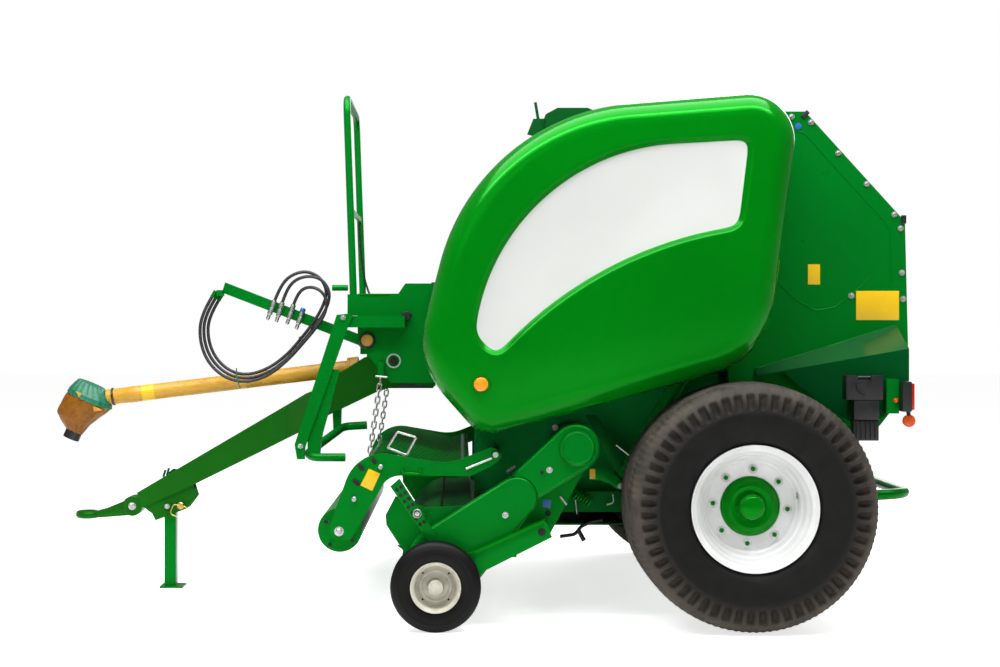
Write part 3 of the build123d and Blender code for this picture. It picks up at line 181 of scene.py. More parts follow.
finishExtras = {
    "vulcanisedTyre": {"soil": {"colour": "#5a4f45", "top": 900, "most": 0.45},
                       "ring": {"centre": (-1063, 462), "from": 345, "to": 440, "colour": "#080807"}},
    "cropWornSteel": {"cut": 0.5},
}
finishes = {name: makeFinish(name, *look, **finishExtras.get(name, {})) for name, look in finishLooks.items()}
print("finishes:", len(finishes))

nodeFinishes = {
    # every other node is in enamelledPlate
    "weatheredEnamel": "drawbar",
    "dustyEnamel": "side_plates",
    # painted shade: these covered nodes are in the darker shaded enamel
    "shadedEnamel": "feed_floor net_box pickup_bands lower_frame",
    "enamelledForging": "towing_eye",
    "cropWornSteel": "front_rollers tailgate_rollers feed_rotor",
    "springSteel": "pickup_reel",
    "zincPlating": "guard_chains hose_couplings",
    "wrappedHose": "hose_1 hose_2 hose_3",
    "hardChrome": "rod_left rod_right",
    "paintedCasting": "gearbox",
    "polyethyleneYellow": "pto_guard",
    "polyethyleneOrange": "pto_bell",
    "polyethyleneGreen": "pto_collar",
    "polypropyleneBlack": "pto_yoke wheel_chocks round_cap",
    "redLens": "tail_lamps",
    "vulcanisedTyre": "main_tyre_left main_tyre_right gauge_tyre_left gauge_tyre_right",
    "wheelEnamel": "main_rim_left main_rim_right",
    "dustyWheelEnamel": "gauge_rim_left gauge_rim_right",
}
for name, node in nodes.items():
    finish = next((finish for finish, members in nodeFinishes.items() if name in members.split()), "enamelledPlate")
    node.data.materials.clear()
    node.data.materials.append(finishes[finish])
# painted shade and reflection: the wings and skirts of the tailgate, apart from the lamp brackets, are in the darker
# enamel that stands in for their shade and the dark ground they mirror
tailgateMesh = nodes["tailgate_shell"].data
tailgateMesh.materials.append(finishes["paintedWingShade"])
wingFrom, bracket = 695 * mm, {"x": -1600 * mm, "y": 890 * mm, "z": 950 * mm}
for face in tailgateMesh.polygons:
    x, y, z = face.center
    if abs(y) > wingFrom and not (x < bracket["x"] and abs(y) > bracket["y"] and z < bracket["z"]):
        face.material_index = 1


# Camera, light and floor

cameraPlace = {"x": 16, "y": 7500, "z": 1104, "lens": 61.85, "shift": 0.04}
camera = bpy.data.objects.new("camera", bpy.data.cameras.new("camera"))
camera.data.lens = cameraPlace["lens"]
camera.data.sensor_width = 36
camera.data.shift_x = cameraPlace["shift"]
camera.data.clip_end = 200
camera.location = [cameraPlace[axis] * mm for axis in "xyz"]
camera.rotation_euler = (math.radians(90), 0, math.radians(180))
link(camera)
scene.camera = camera

# the paper backdrop glows white for the eye and lights the machine from below only a little
studio = {"floor": "#f6f6f5", "floorHalf": 40, "floorLight": 0.2, "floorSeen": 0.72, "worldLight": 0.28,
          "worldSeen": 1.0}
half = studio["floorHalf"]
floorMesh = bpy.data.meshes.new("floor")
floorMesh.from_pydata([(-half, -half, 0), (half, -half, 0), (half, half, 0), (-half, half, 0)], [], [(0, 1, 2, 3)])
floor = bpy.data.objects.new("floor", floorMesh)
link(floor)
floorPaint = bpy.data.materials.new("studioFloor")
floorPaint.use_nodes = True
floorShader = floorPaint.node_tree.nodes["Principled BSDF"]
floorShader.inputs["Base Color"].default_value = linearColour(studio["floor"])
floorShader.inputs["Emission Color"].default_value = linearColour("#ffffff")
floorShader.inputs["Roughness"].default_value = 0.8
floorMesh.materials.append(floorPaint)
world = bpy.data.worlds.new("studio")
world.use_nodes = True
backdrop = world.node_tree.nodes["Background"]
backdrop.inputs["Color"].default_value = linearColour("#ffffff")
for tree, socket, name in ((floorPaint.node_tree, floorShader.inputs["Emission Strength"], "floor"),
                           (world.node_tree, backdrop.inputs["Strength"], "world")):
    seen = addNode(tree, "ShaderNodeLightPath").outputs["Is Camera Ray"]
    glow = addNode(tree, "ShaderNodeMapRange", {
        "Value": seen, "To Min": studio[name + "Light"], "To Max": studio[name + "Seen"]})
    tree.links.new(glow.outputs["Result"], socket)
scene.world = world
scene.view_settings.view_transform = "Standard"

studioLights = {
    # place, what it faces, size and power
    "overhead": {"place": (0, 1.5, 4.7), "towards": (0, 0, 1), "size": (6, 4), "power": 430},
    "strip": {"place": (0, 3.0, 4.6), "towards": (0, 0.4, 1), "size": (7, 0.3), "power": 130},
    "nearSide": {"place": (2.5, 6.0, 3.6), "towards": (0, 0.6, 1.0), "size": (4, 2), "power": 20},
    "farSide": {"place": (-3, -5, 3.2), "towards": (0, 0, 1), "size": (4, 3), "power": 170},
}
for name, look in studioLights.items():
    lamp = bpy.data.lights.new(name, "AREA")
    lamp.shape = "RECTANGLE"
    lamp.size, lamp.size_y = look["size"]
    lamp.energy = look["power"]
    holder = bpy.data.objects.new(name, lamp)
    holder.location = look["place"]
    aim = Vector(look["towards"]) - Vector(look["place"])
    holder.rotation_euler = aim.to_track_quat("-Z", "Y").to_euler()
    link(holder)
print("camera, light and floor")


# Meshes

def finishMesh(name, points, faces, materials, indices=None, crease=35):
    # points in millimetres, faces turned outwards, smooth but for the creases
    mesh = bpy.data.meshes.new(name)
    mesh.from_pydata([tuple(c * mm for c in p) for p in points], [], faces)
    for material in materials:
        mesh.materials.append(finishes[material])
    if indices is not None:
        mesh.polygons.foreach_set("material_index", indices)
    work = bmesh.new()
    work.from_mesh(mesh)
    bmesh.ops.remove_doubles(work, verts=work.verts, dist=0.01 * mm)
    bmesh.ops.recalc_face_normals(work, faces=work.faces)
    work.to_mesh(mesh)
    work.free()
    mesh.shade_smooth()
    mesh.set_sharp_from_angle(angle=math.radians(crease))
    return mesh


def placePiece(name, mesh, body, stoodFor=()):
    piece = bpy.data.objects.new(name, mesh)
    link(piece)
    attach(piece, body)
    if stoodFor:
        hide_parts(*stoodFor)
    return piece


# Hoses from the hose arm, with the same points as the drawing
hoseDiameter = 14
hoseRoutes = [
    (1266, [(811, 124, 1246), (790, 124, 1300), (748, 129, 1352), (678, 134, 1374), (614, 136, 1346),
            (584, 138, 1285), (602, 138, 1222), (640, 138, 1156), (692, 138, 1088), (755, 138, 1014),
            (838, 138, 952), (930, 138, 924), (1008, 138, 944), (1070, 138, 1006), (1098, 138, 1090),
            (1092, 138, 1176), (1050, 138, 1246)]),
    (1291, [(778, 124, 1238), (762, 124, 1288), (724, 140, 1334), (664, 153, 1352), (604, 155, 1336),
            (570, 155, 1280), (584, 155, 1214), (626, 155, 1148), (680, 155, 1078), (744, 155, 1004),
            (828, 155, 938), (926, 155, 908), (1014, 155, 928), (1084, 155, 996), (1114, 155, 1088),
            (1106, 155, 1182), (1062, 155, 1254)]),
    (1219, [(730, 124, 1228), (712, 124, 1280), (666, 150, 1306), (612, 171, 1292), (582, 172, 1246),
            (590, 172, 1190), (628, 172, 1130), (684, 172, 1064), (748, 172, 992), (832, 172, 924),
            (924, 172, 894), (1018, 172, 912), (1094, 172, 982), (1128, 172, 1080), (1120, 172, 1184),
            (1074, 172, 1260)]),
]
for number, (length, route) in enumerate(hoseRoutes, 1):
    line = bpy.data.curves.new(f"hose_{number}_line", "CURVE")
    line.dimensions = "3D"
    spline = line.splines.new("NURBS")
    spline.points.add(len(route) - 1)
    spline.points.foreach_set("co", [c for x, y, z in route for c in (x * mm, y * mm, z * mm, 1)])
    spline.order_u = 3
    spline.use_endpoint_u = True
    line.resolution_u = 8
    line.bevel_depth = hoseDiameter / 2 * mm
    line.bevel_resolution = 4
    line.use_fill_caps = True
    line.materials.append(finishes["wrappedHose"])
    hose = placePiece(f"rubberHose_{number}", line, "root", [f"hose_{number}"])
print("hoses")


def gridFaces(rings, around, start=0, capped=False):
    # quads between closed rings of points, and a face over each end if capped
    faces = []
    for ring in range(start, start + (rings - 1) * around, around):
        for step in range(around):
            ahead = (step + 1) % around
            faces.append((ring + step, ring + ahead, ring + around + ahead, ring + around + step))
    if capped:
        last = start + (rings - 1) * around
        faces += [tuple(range(start, start + around)), tuple(range(last, last + around))]
    return faces


def spinPiece(name, spins, material, body, slotName="green_steel", stoodFor=(), steps=128, crease=30):
    # each spin is (profile of radius and distance out, centre, way out), round the machine's cross axis
    points, faces = [], []
    for profile, centre, side in spins:
        closed = profile if profile[0][0] == 0 or profile[0] == profile[-1] else profile + [profile[0]]
        faces += gridFaces(len(closed), steps, len(points))
        for radius, out in closed:
            for step in range(steps):
                angle = 2 * math.pi * step / steps
                points.append((centre[0] + radius * math.cos(angle), centre[1] + side * out,
                               centre[2] + radius * math.sin(angle)))
    return placePiece(name, finishMesh(name, points, faces, [material], crease=crease), body, stoodFor)


def easedPath(points, bend, steps=6):
    # each inner corner becomes a curve that starts and ends that far from it
    path = [Vector(points[0])]
    for before, here, after in zip(points, points[1:], points[2:]):
        corner, back, ahead = Vector(here), Vector(before) - Vector(here), Vector(after) - Vector(here)
        reach = min(bend, back.length * 0.49, ahead.length * 0.49)
        start, end = corner + back.normalized() * reach, corner + ahead.normalized() * reach
        for k in range(steps + 1):
            path.append(start.lerp(corner, k / steps).lerp(corner.lerp(end, k / steps), k / steps))
    return path + [Vector(points[-1])]


def ringPoints(middle, aside, up, radius, steps):
    return [middle + (aside * math.cos(2 * math.pi * k / steps) + up * math.sin(2 * math.pi * k / steps)) * radius
            for k in range(steps)]


def rodPiece(name, rods, material, body, slotName="green_steel", stoodFor=(), bend=0, around=14):
    # each rod is (its points, its radius), bent smoothly at its inner points
    points, faces = [], []
    for line, radius in rods:
        path = easedPath(line, bend) if bend else [Vector(p) for p in line]
        faces += gridFaces(len(path), around, len(points), capped=True)
        aside = (path[1] - path[0]).orthogonal().normalized()
        for number, place in enumerate(path):
            onward = (path[min(number + 1, len(path) - 1)] - path[max(number - 1, 0)]).normalized()
            aside = (aside - onward * aside.dot(onward)).normalized()
            points += ringPoints(place, aside, onward.cross(aside), radius, around)
    return placePiece(name, finishMesh(name, points, faces, [material]), body, stoodFor)


def turnedPiece(name, turns, material, body, slotName="green_steel", stoodFor=(), steps=40):
    # each turn is (profile of radius and distance, start, direction), closed at the axis
    points, faces = [], []
    for profile, origin, direction in turns:
        faces += gridFaces(len(profile), steps, len(points))
        along = Vector(direction).normalized()
        aside = along.orthogonal().normalized()
        for radius, out in profile:
            points += ringPoints(Vector(origin) + along * out, aside, along.cross(aside), radius, steps)
    return placePiece(name, finishMesh(name, points, faces, [material]), body, stoodFor)


def platePiece(name, plates, material, body, slotName="green_steel", stoodFor=(), bevel=1.2):
    # each plate is (its outline in x and z, its two faces in y), its edges bevelled
    points, faces = [], []
    for outline, low, high in plates:
        faces += gridFaces(2, len(outline), len(points), capped=True)
        points += [(x, y, z) for y in (low, high) for x, z in outline]
    mesh = finishMesh(name, points, faces, [material])
    work = bmesh.new()
    work.from_mesh(mesh)
    sharp = [edge for edge in work.edges if len(edge.link_faces) == 2 and edge.calc_face_angle() > 0.5]
    bmesh.ops.bevel(work, geom=sharp, offset=bevel * mm, segments=2, profile=0.6, affect="EDGES")
    work.to_mesh(mesh)
    work.free()
    mesh.shade_smooth()
    mesh.set_sharp_from_angle(angle=math.radians(40))
    return placePiece(name, mesh, body, stoodFor)


def rectangle(x, z, width, height, tilt=0):
    c, s = math.cos(math.radians(tilt)), math.sin(math.radians(tilt))
    return [(x + u * c - v * s, z + u * s + v * c) for u, v in (
        (-width / 2, -height / 2), (width / 2, -height / 2), (width / 2, height / 2), (-width / 2, height / 2))]


def oval(x, z, length, width, tilt, steps=28):
    c, s = math.cos(math.radians(tilt)), math.sin(math.radians(tilt))
    turns = [2 * math.pi * k / steps for k in range(steps)]
    return [(x + c * length / 2 * math.cos(t) - s * width / 2 * math.sin(t),
             z + s * length / 2 * math.cos(t) + c * width / 2 * math.sin(t)) for t in turns]


def disc(x, z, radius, steps=28):
    return oval(x, z, 2 * radius, 2 * radius, 0, steps)


def onCircle(x, z, radius, angle):
    return x + radius * math.cos(angle), z + radius * math.sin(angle)


def flatLine(y, *spots):
    return [(x, y, z) for x, z in spots]


# Geometry node trees

def newTree(name, *sizes):
    # a tree with the sizes as its named inputs
    tree = bpy.data.node_groups.new(name, "GeometryNodeTree")
    tree.interface.new_socket("Geometry", in_out="INPUT", socket_type="NodeSocketGeometry")
    for label in sizes:
        tree.interface.new_socket(label, in_out="INPUT", socket_type="NodeSocketFloat")
    tree.interface.new_socket("Material", in_out="INPUT", socket_type="NodeSocketMaterial")
    tree.interface.new_socket("Geometry", in_out="OUTPUT", socket_type="NodeSocketGeometry")
    return tree, addNode(tree, "NodeGroupInput").outputs


def closeTree(tree, given, shape):
    # the shape stands on each point, turned by the point's own angles, and becomes plain mesh
    turn = addNode(tree, "GeometryNodeInputNamedAttribute", {"Name": "turn"}, data_type="FLOAT_VECTOR")
    rotation = addNode(tree, "FunctionNodeEulerToRotation", {"Euler": turn})
    placed = addNode(tree, "GeometryNodeInstanceOnPoints", {
        "Points": given["Geometry"], "Instance": shape, "Rotation": rotation})
    plain = addNode(tree, "GeometryNodeRealizeInstances", {"Geometry": placed})
    coloured = addNode(tree, "GeometryNodeSetMaterial", {"Geometry": plain, "Material": given["Material"]})
    addNode(tree, "NodeGroupOutput", {"Geometry": coloured})
    return tree


def closeWireTree(tree, given, line, capped):
    # the shape is a wire along the line
    wire = addNode(tree, "GeometryNodeCurvePrimitiveCircle", {"Resolution": 8, "Radius": given["Wire Radius"]})
    return closeTree(tree, given, addNode(tree, "GeometryNodeCurveToMesh", {
        "Curve": line, "Profile Curve": wire, "Fill Caps": capped}))


def makeBoltTree():
    # hexagon head with a chamfered top on a round washer
    tree, given = newTree("boltHeads", "Head Radius", "Head Height", "Washer Radius", "Washer Height")
    radius, height = given["Head Radius"], given["Head Height"]
    joined = addNode(tree, "GeometryNodeJoinGeometry")
    topRadius, topHeight, headRise = (
        addNode(tree, "ShaderNodeMath", {0: size, 1: share}, operation="MULTIPLY")
        for size, share in ((radius, 0.8), (height, 0.2), (height, 0.5)))
    washer = addNode(tree, "GeometryNodeMeshCylinder", {
        "Vertices": 20, "Radius": given["Washer Radius"], "Depth": given["Washer Height"]})
    head = addNode(tree, "GeometryNodeMeshCylinder", {"Vertices": 6, "Radius": radius, "Depth": height})
    top = addNode(tree, "GeometryNodeMeshCone", {
        "Vertices": 6, "Radius Bottom": radius, "Radius Top": topRadius, "Depth": topHeight})
    tree.links.new(washer.outputs["Mesh"], joined.inputs["Geometry"])
    for part, rise in ((head, headRise), (top, height)):
        lift = addNode(tree, "ShaderNodeCombineXYZ", {"Z": rise})
        raised = addNode(tree, "GeometryNodeTransform", {"Geometry": part, "Translation": lift})
        tree.links.new(raised.outputs["Geometry"], joined.inputs["Geometry"])
    return closeTree(tree, given, joined)


def makeLinkTree():
    # one welded chain link: a rounded loop of wire
    tree, given = newTree("chainLinks", "Wire Radius", "Link Length", "Link Width")
    loop = addNode(tree, "GeometryNodeCurvePrimitiveQuadrilateral", {
        "Width": given["Link Length"], "Height": given["Link Width"]})
    bend = addNode(tree, "ShaderNodeMath", {0: given["Link Width"], 1: 0.495}, operation="MULTIPLY")
    rounded = addNode(tree, "GeometryNodeFilletCurve", {"Curve": loop, "Radius": bend, "Count": 5}, mode="POLY")
    return closeWireTree(tree, given, rounded, False)


def makeSpringTree():
    # a coil of wire along the point's own Z
    tree, given = newTree("coilSprings", "Wire Radius", "Coil Radius", "Coil Height", "Turns")
    coil = addNode(tree, "GeometryNodeCurveSpiral", {
        "Resolution": 20, "Rotations": given["Turns"], "Start Radius": given["Coil Radius"],
        "End Radius": given["Coil Radius"], "Height": given["Coil Height"]})
    return closeWireTree(tree, given, coil, True)


def makeTineTree():
    # a spring tine: a wire that bends back a little towards its tip
    tree, given = newTree("springTines", "Wire Radius", "Reach", "Lean")
    tip = addNode(tree, "ShaderNodeCombineXYZ", {"X": given["Lean"], "Z": given["Reach"]})
    middleHeight = addNode(tree, "ShaderNodeMath", {0: given["Reach"], 1: 0.6}, operation="MULTIPLY")
    middle = addNode(tree, "ShaderNodeCombineXYZ", {"Z": middleHeight})
    wireLine = addNode(tree, "GeometryNodeCurvePrimitiveBezierSegment", {
        "Resolution": 8, "Start": (0, 0, 0), "Start Handle": middle, "End Handle": middle, "End": tip})
    return closeWireTree(tree, given, wireLine, True)


trees = {"bolts": makeBoltTree(), "links": makeLinkTree(), "springs": makeSpringTree(), "tines": makeTineTree()}


def boltSizes(*sizes):
    return dict(zip(("Head Radius", "Head Height", "Washer Radius", "Washer Height"), sizes))


plateBolt = boltSizes(8, 7, 12, 3)


def takeMesh(carrier, name):
    # the carrier's mesh with its modifier applied
    mesh = bpy.data.meshes.new_from_object(carrier.evaluated_get(bpy.context.evaluated_depsgraph_get()))
    bpy.data.objects.remove(carrier)
    mesh.name = name
    return mesh


def repeatPiece(name, places, material, body, slotName="green_steel", stoodFor=(), tree="bolts", sizes=plateBolt):
    # places are (x, y, z, turn about x, y, z) in millimetres and degrees
    points = bpy.data.meshes.new(name + "Points")
    points.from_pydata([tuple(c * mm for c in p[:3]) for p in places], [], [])
    turns = points.attributes.new("turn", "FLOAT_VECTOR", "POINT")
    turns.data.foreach_set("vector", [math.radians(a) for p in places for a in p[3:]])
    carrier = bpy.data.objects.new(name + "Points", points)
    link(carrier)
    modifier = carrier.modifiers.new("repeat", "NODES")
    modifier.node_group = trees[tree]
    for item in trees[tree].interface.items_tree:
        if item.in_out == "INPUT" and item.name in sizes:
            modifier[item.identifier] = sizes[item.name] * (1 if item.name == "Turns" else mm)
        elif item.in_out == "INPUT" and item.name == "Material":
            modifier[item.identifier] = finishes[material]
    mesh = takeMesh(carrier, name)
    mesh.shade_smooth()
    mesh.set_sharp_from_angle(angle=math.radians(35))
    return placePiece(name, mesh, body, stoodFor)


mirrors = {
    # how each kind of shape is set on a side of the machine
    spinPiece: lambda side, profile, centre, out: (profile, (centre[0], side * centre[1], centre[2]), side * out),
    rodPiece: lambda side, line, radius: ([(x, side * y, z) for x, y, z in line], radius),
    turnedPiece: lambda side, profile, origin, way: (
        profile, (origin[0], side * origin[1], origin[2]), (way[0], side * way[1], way[2])),
    platePiece: lambda side, outline, low, high: (outline, side * low, side * high),
    repeatPiece: lambda side, x, y, z, turnX, turnY, turnZ: (x, side * y, z, side * turnX, turnY, turnZ),
}


def pair(make, name, shapes, material, body, slotName="green_steel", stoodFor=(), **options):
    # the piece on the left and its mirror image on the right; {} in a name stands for the side,
    # and a node that spans both sides goes with the left one
    return [make(f"{name}_{hand}", [mirrors[make](side, *shape) for shape in shapes], material, body.format(hand),
                 slotName, [node.format(hand) for node in stoodFor if side > 0 or "{}" in node], **options)
            for hand, side in sides.items()]


outward = (0, 1, 0)


# Main wheels

wheel = {"x": -1063, "y": 1020, "z": 462, "lugs": 56, "stepsPerLug": 14, "steps": 144}
tyreProfile = [
    # radius, distance out, depth of the pocket between lugs, depth of the crown grooves
    (217, 188, 0, 0), (219, 197, 0, 0), (232, 200, 0, 0), (241, 207, 0, 0), (250, 219, 0, 0), (268, 228, 0, 0),
    (290, 236, 0, 0), (315, 242, 0, 0), (340, 245, 0, 0), (350, 246, 0, 0), (353, 248, 0, 0), (357, 248, 0, 0),
    (361, 246, 0, 0), (364, 246, 1, 0), (367, 246, 7, 0), (371, 246, 13, 0), (378, 246, 17, 0), (388, 245, 19, 0),
    (398, 244, 20, 0), (408, 241, 19, 0), (416, 238, 17, 0), (421, 236, 10, 0), (424, 234, 3, 0), (427, 232, 0, 1),
    (434, 227, 0, 2), (442, 219, 0, 2), (449, 209, 0, 3), (455, 196, 0, 4), (458.5, 182, 0, 5), (460.5, 166, 0, 7),
    (461.2, 150, 0, 7), (462, 132, 0, 4), (462, 126, 0, 11), (462, 116, 0, 11), (462, 110, 0, 2), (462, 90, 0, 2),
    (462, 70, 0, 2), (462, 64, 0, 11), (462, 54, 0, 11), (462, 48, 0, 2), (462, 24, 0, 1), (462, 0, 0, 1),
]


def tyreMesh(name, side):
    around = wheel["lugs"] * wheel["stepsPerLug"]
    rows = [(r, out, pocket, groove, 1) for r, out, pocket, groove in tyreProfile]
    rows += [(r, -out, pocket, groove, -1) for r, out, pocket, groove in reversed(tyreProfile[:-1])]
    points = []
    for rowNumber, (r, out, pocket, groove, facing) in enumerate(rows):
        before, after = rows[max(rowNumber - 1, 0)], rows[min(rowNumber + 1, len(rows) - 1)]
        alongR, alongY = after[0] - before[0], after[1] - before[1]
        length = math.hypot(alongR, alongY)
        normalR, normalY = -alongY / length, alongR / length
        for step in range(around):
            phase = (step / wheel["stepsPerLug"] + (0.5 if facing < 0 else 0)) % 1
            # a pocket is wider than its lug, and narrows to a round end on the inner side
            narrowed = 0.34 * min(1, max(0.25, (r - 360) / 22) ** 0.5)
            opening = max(0.0, 1 - (abs(phase - 0.5) / narrowed) ** 4)
            zigzag = 1 if (phase * 2) % 1 < 0.5 else 0.55
            depth = pocket * opening + groove * zigzag
            angle = 2 * math.pi * step / around
            radius, y = r - normalR * depth, out - normalY * depth
            points.append((wheel["x"] + radius * math.cos(angle), side * wheel["y"] + y,
                           wheel["z"] + radius * math.sin(angle)))
    faces = gridFaces(len(rows), around)
    # the inner side between the beads
    last = (len(rows) - 1) * around
    for step in range(around):
        following = (step + 1) % around
        faces.append((last + step, last + following, following, step))
    return finishMesh(name, points, faces, ["vulcanisedTyre"], crease=50)


rimProfile = [
    # radius, distance out: flange, the cone with its pressed steps, and the flat disc
    (235, 214), (234, 217), (231, 217), (228, 214), (225, 209), (221, 203), (215, 199), (211, 195), (209, 188),
    (206, 176), (203, 170), (199, 166), (196, 158), (192, 142), (189, 134), (184, 130), (181, 124), (178, 112),
    (175, 104), (169, 101), (166, 97), (163, 92), (158, 90), (111.5, 90), (111.5, 84), (160, 83), (186, 80), (205, 60),
    (209, 40), (209, -196), (213, -203), (224, -208), (230, -216), (233, -217), (235, -214), (235, -202), (216, -197),
    (216, 197), (235, 202),
]
hubProfile = [
    (0, 100), (45.5, 100), (45.5, -60), (107, -60), (107, 79), (110.5, 79), (110.5, 94), (108, 98), (102, 99),
    (97, 104), (88, 112), (78, 117), (66, 115), (58, 113), (52, 120), (49, 134), (44, 146), (36, 153), (22, 157),
    (0, 158),
]
wheelBolts = {"count": 8, "circle": 139, "face": 90, "sizes": boltSizes(8, 11, 9, 5), "washers": boltSizes(1, 1, 18, 3)}
valve = [(-168, 92, 58), (-172, 112, 52), (-166, 126, 30)]  # from the wheel's centre
for hand, side in sides.items():
    placePiece(f"tyre_{hand}", tyreMesh(f"tyre_{hand}", side), f"main_wheel_{hand}",
               [f"main_tyre_{hand}"])
hubCentre = Vector((wheel["x"], wheel["y"], wheel["z"]))
pair(spinPiece, "wheelRim", [(rimProfile, hubCentre, 1)], "wheelEnamel", "main_wheel_{}", "silver_rim",
     ["main_rim_{}"], steps=wheel["steps"])
pair(spinPiece, "wheelHub", [(hubProfile, hubCentre, 1)], "gelCoatDoor", "main_wheel_{}", stoodFor=["main_hub_{}"],
     steps=96)
spots = []
for number in range(wheelBolts["count"]):
    angle = 2 * math.pi * (number + 0.1) / wheelBolts["count"]
    x, z = onCircle(wheel["x"], wheel["z"], wheelBolts["circle"], angle)
    spots.append((x, wheel["y"] + wheelBolts["face"], z, -90, 0, 0))
pair(repeatPiece, "wheelBolts", spots, "enamelledPlate", "main_wheel_{}", sizes=wheelBolts["sizes"])
pair(repeatPiece, "wheelWashers", spots, "zincPlating", "main_wheel_{}", "silver_rim",
     sizes=wheelBolts["washers"])
pair(rodPiece, "valveStem", [([hubCentre + Vector(p) for p in valve], 4)], "zincPlating", "main_wheel_{}",
     "silver_rim", bend=8)
print("main wheels")

# Gauge wheels

gauge = {"x": 106, "y": 1142, "z": 168, "steps": 120, "holes": 68, "holeTurns": (0.8, 2.37, 3.94, 5.5)}
gaugeTyreProfile = [
    # radius, distance out: bead, crowned sidewall with a rib, three-ribbed tread
    (84.5, 33), (95, 40), (101, 42), (108, 44.5), (118, 46), (128, 46), (134, 45), (137, 46), (140, 46), (143, 44),
    (150, 41), (157, 37), (163, 32), (167, 26), (168, 22), (168, 17), (163, 16), (163, 12), (168, 11), (168, -11),
    (163, -12), (163, -16), (168, -17), (168, -22), (167, -26), (163, -32), (157, -37), (150, -41), (143, -44),
    (128, -46), (118, -46), (108, -44.5), (95, -40), (84.5, -33),
]
gaugeRimProfile = [
    (0, 42), (16, 42), (19, 41), (20, 38), (26, 38), (27, 36), (28, 2), (31, -4), (38, -6), (47, -6), (50, -4),
    (53, -1), (60, -1), (63, -4), (74, -6), (78, -2), (79, 30), (84, 38), (90, 44), (92, 45), (94, 45), (94, 41),
    (84, 33), (84, -33), (94, -41), (94, -45), (78, -34), (78, -14), (46, -14), (42, -42), (14.3, -42), (14.3, 30),
    (0, 30),
]
gaugeCentre = (gauge["x"], gauge["y"], gauge["z"])
pair(spinPiece, "gaugeTyre", [(gaugeTyreProfile, gaugeCentre, 1)], "tyreSidewall", "gauge_wheel_{}", "tyre_rubber",
     ["gauge_tyre_{}"], steps=gauge["steps"], crease=40)
pair(spinPiece, "gaugeRim", [(gaugeRimProfile, gaugeCentre, 1)], "dustyWheelEnamel", "gauge_wheel_{}", "silver_rim",
     ["gauge_rim_{}"], steps=96)
# painted shade: the wheel's holes are near-black discs standing in for the shade inside them
pair(platePiece, "gaugeHoles", [
    (disc(*onCircle(gauge["x"], gauge["z"], gauge["holes"], t), 4, 16), gauge["y"] - 8, gauge["y"] - 4.2)
    for t in gauge["holeTurns"]], "openBore", "gauge_wheel_{}", "silver_rim", bevel=0.2)
print("gauge wheels")

# Side doors

door = {"steps": 720, "centre": (-480, 1480), "edge": 92, "lip": 30, "panel": 1106, "face": 1130, "back": 786,
        "wall": 6,
        "corners": [(-60, 713, 110), (189, 998, 320), (-50, 1922, 800), (-1272, 2022, 176), (-1138, 1001, 320)]}
windowArcs = [((-44, 1106), (-287, 1594), (-807, 1808)), ((-807, 1808), (-930, 1815), (-1056, 1822)),
              ((-1056, 1822), (-1037, 1665), (-1018, 1508)), ((-1018, 1508), (-520, 1345), (-120, 1030)),
              ((-120, 1030), (-80, 1064), (-44, 1106))]


def arcPoints(a, b, c, count):
    # from a towards c on the arc through b, or straight where the three are nearly in line
    a, b, c = complex(*a), complex(*b), complex(*c)
    if abs(((b - a).conjugate() * (c - a)).imag) < 400:
        points = [a + (c - a) * i / count for i in range(count)]
    else:
        bulge = (c - a) / (b - a)
        centre = a + (b - a) * (bulge - abs(bulge) ** 2) / (2j * bulge.imag)
        sweep = cmath.phase((b - centre) / (a - centre)) + cmath.phase((c - centre) / (b - centre))
        points = [centre + (a - centre) * cmath.exp(1j * sweep * i / count) for i in range(count)]
    return [(p.real, p.imag) for p in points]


def filletedOutline(corners, count=40):
    # closed outline with a round of its own radius at each corner
    outline = []
    for number, (x, z, radius) in enumerate(corners):
        here = complex(x, z)
        before, after = complex(*corners[number - 1][:2]), complex(*corners[(number + 1) % len(corners)][:2])
        back, ahead = (before - here) / abs(before - here), (after - here) / abs(after - here)
        half = abs(cmath.phase(ahead / back)) / 2
        reach = radius / math.tan(half)
        middle = here + (back + ahead) / abs(back + ahead) * radius / math.sin(half)
        start, end = here + back * reach - middle, here + ahead * reach - middle
        sweep = cmath.phase(end / start)
        outline += [middle + start * cmath.exp(1j * sweep * k / count) for k in range(count + 1)]
    return np.array([(p.real, p.imag) for p in outline])


def evenOutline(outline, spacing=4.0, soften=0):
    # the outline in even steps, its corners eased by a running mean of that length
    closed = np.vstack([outline, outline[:1]])
    lengths = np.concatenate([[0], np.cumsum(np.linalg.norm(np.diff(closed, axis=0), axis=1))])
    count = int(lengths[-1] / spacing)
    at = np.linspace(0, lengths[-1], count, endpoint=False)
    even = np.column_stack([np.interp(at, lengths, closed[:, k]) for k in (0, 1)])
    for _ in range(int(soften / spacing)):
        even = (np.roll(even, 1, 0) + 2 * even + np.roll(even, -1, 0)) / 4
    return even


def outwardNormals(outline):
    along = np.roll(outline, -1, 0) - np.roll(outline, 1, 0)
    normals = np.column_stack([along[:, 1], -along[:, 0]])
    normals /= np.linalg.norm(normals, axis=1)[:, None]
    area = np.sum(outline[:, 0] * np.roll(outline[:, 1], -1) - np.roll(outline[:, 0], -1) * outline[:, 1])
    return normals if area > 0 else -normals


def byAngle(outline, normals):
    # the outline's points and normals where rays from the door's centre cut it
    offsets = outline - np.array(door["centre"])
    angles = np.mod(np.arctan2(offsets[:, 1], offsets[:, 0]), 2 * np.pi)
    order = np.argsort(angles)
    wanted = np.arange(door["steps"]) * 2 * np.pi / door["steps"]
    places, facing = (np.column_stack([
        np.interp(wanted, angles[order], rows[order][:, k], period=2 * np.pi) for k in (0, 1)])
        for rows in (outline, normals))
    return places, facing / np.linalg.norm(facing, axis=1)[:, None]


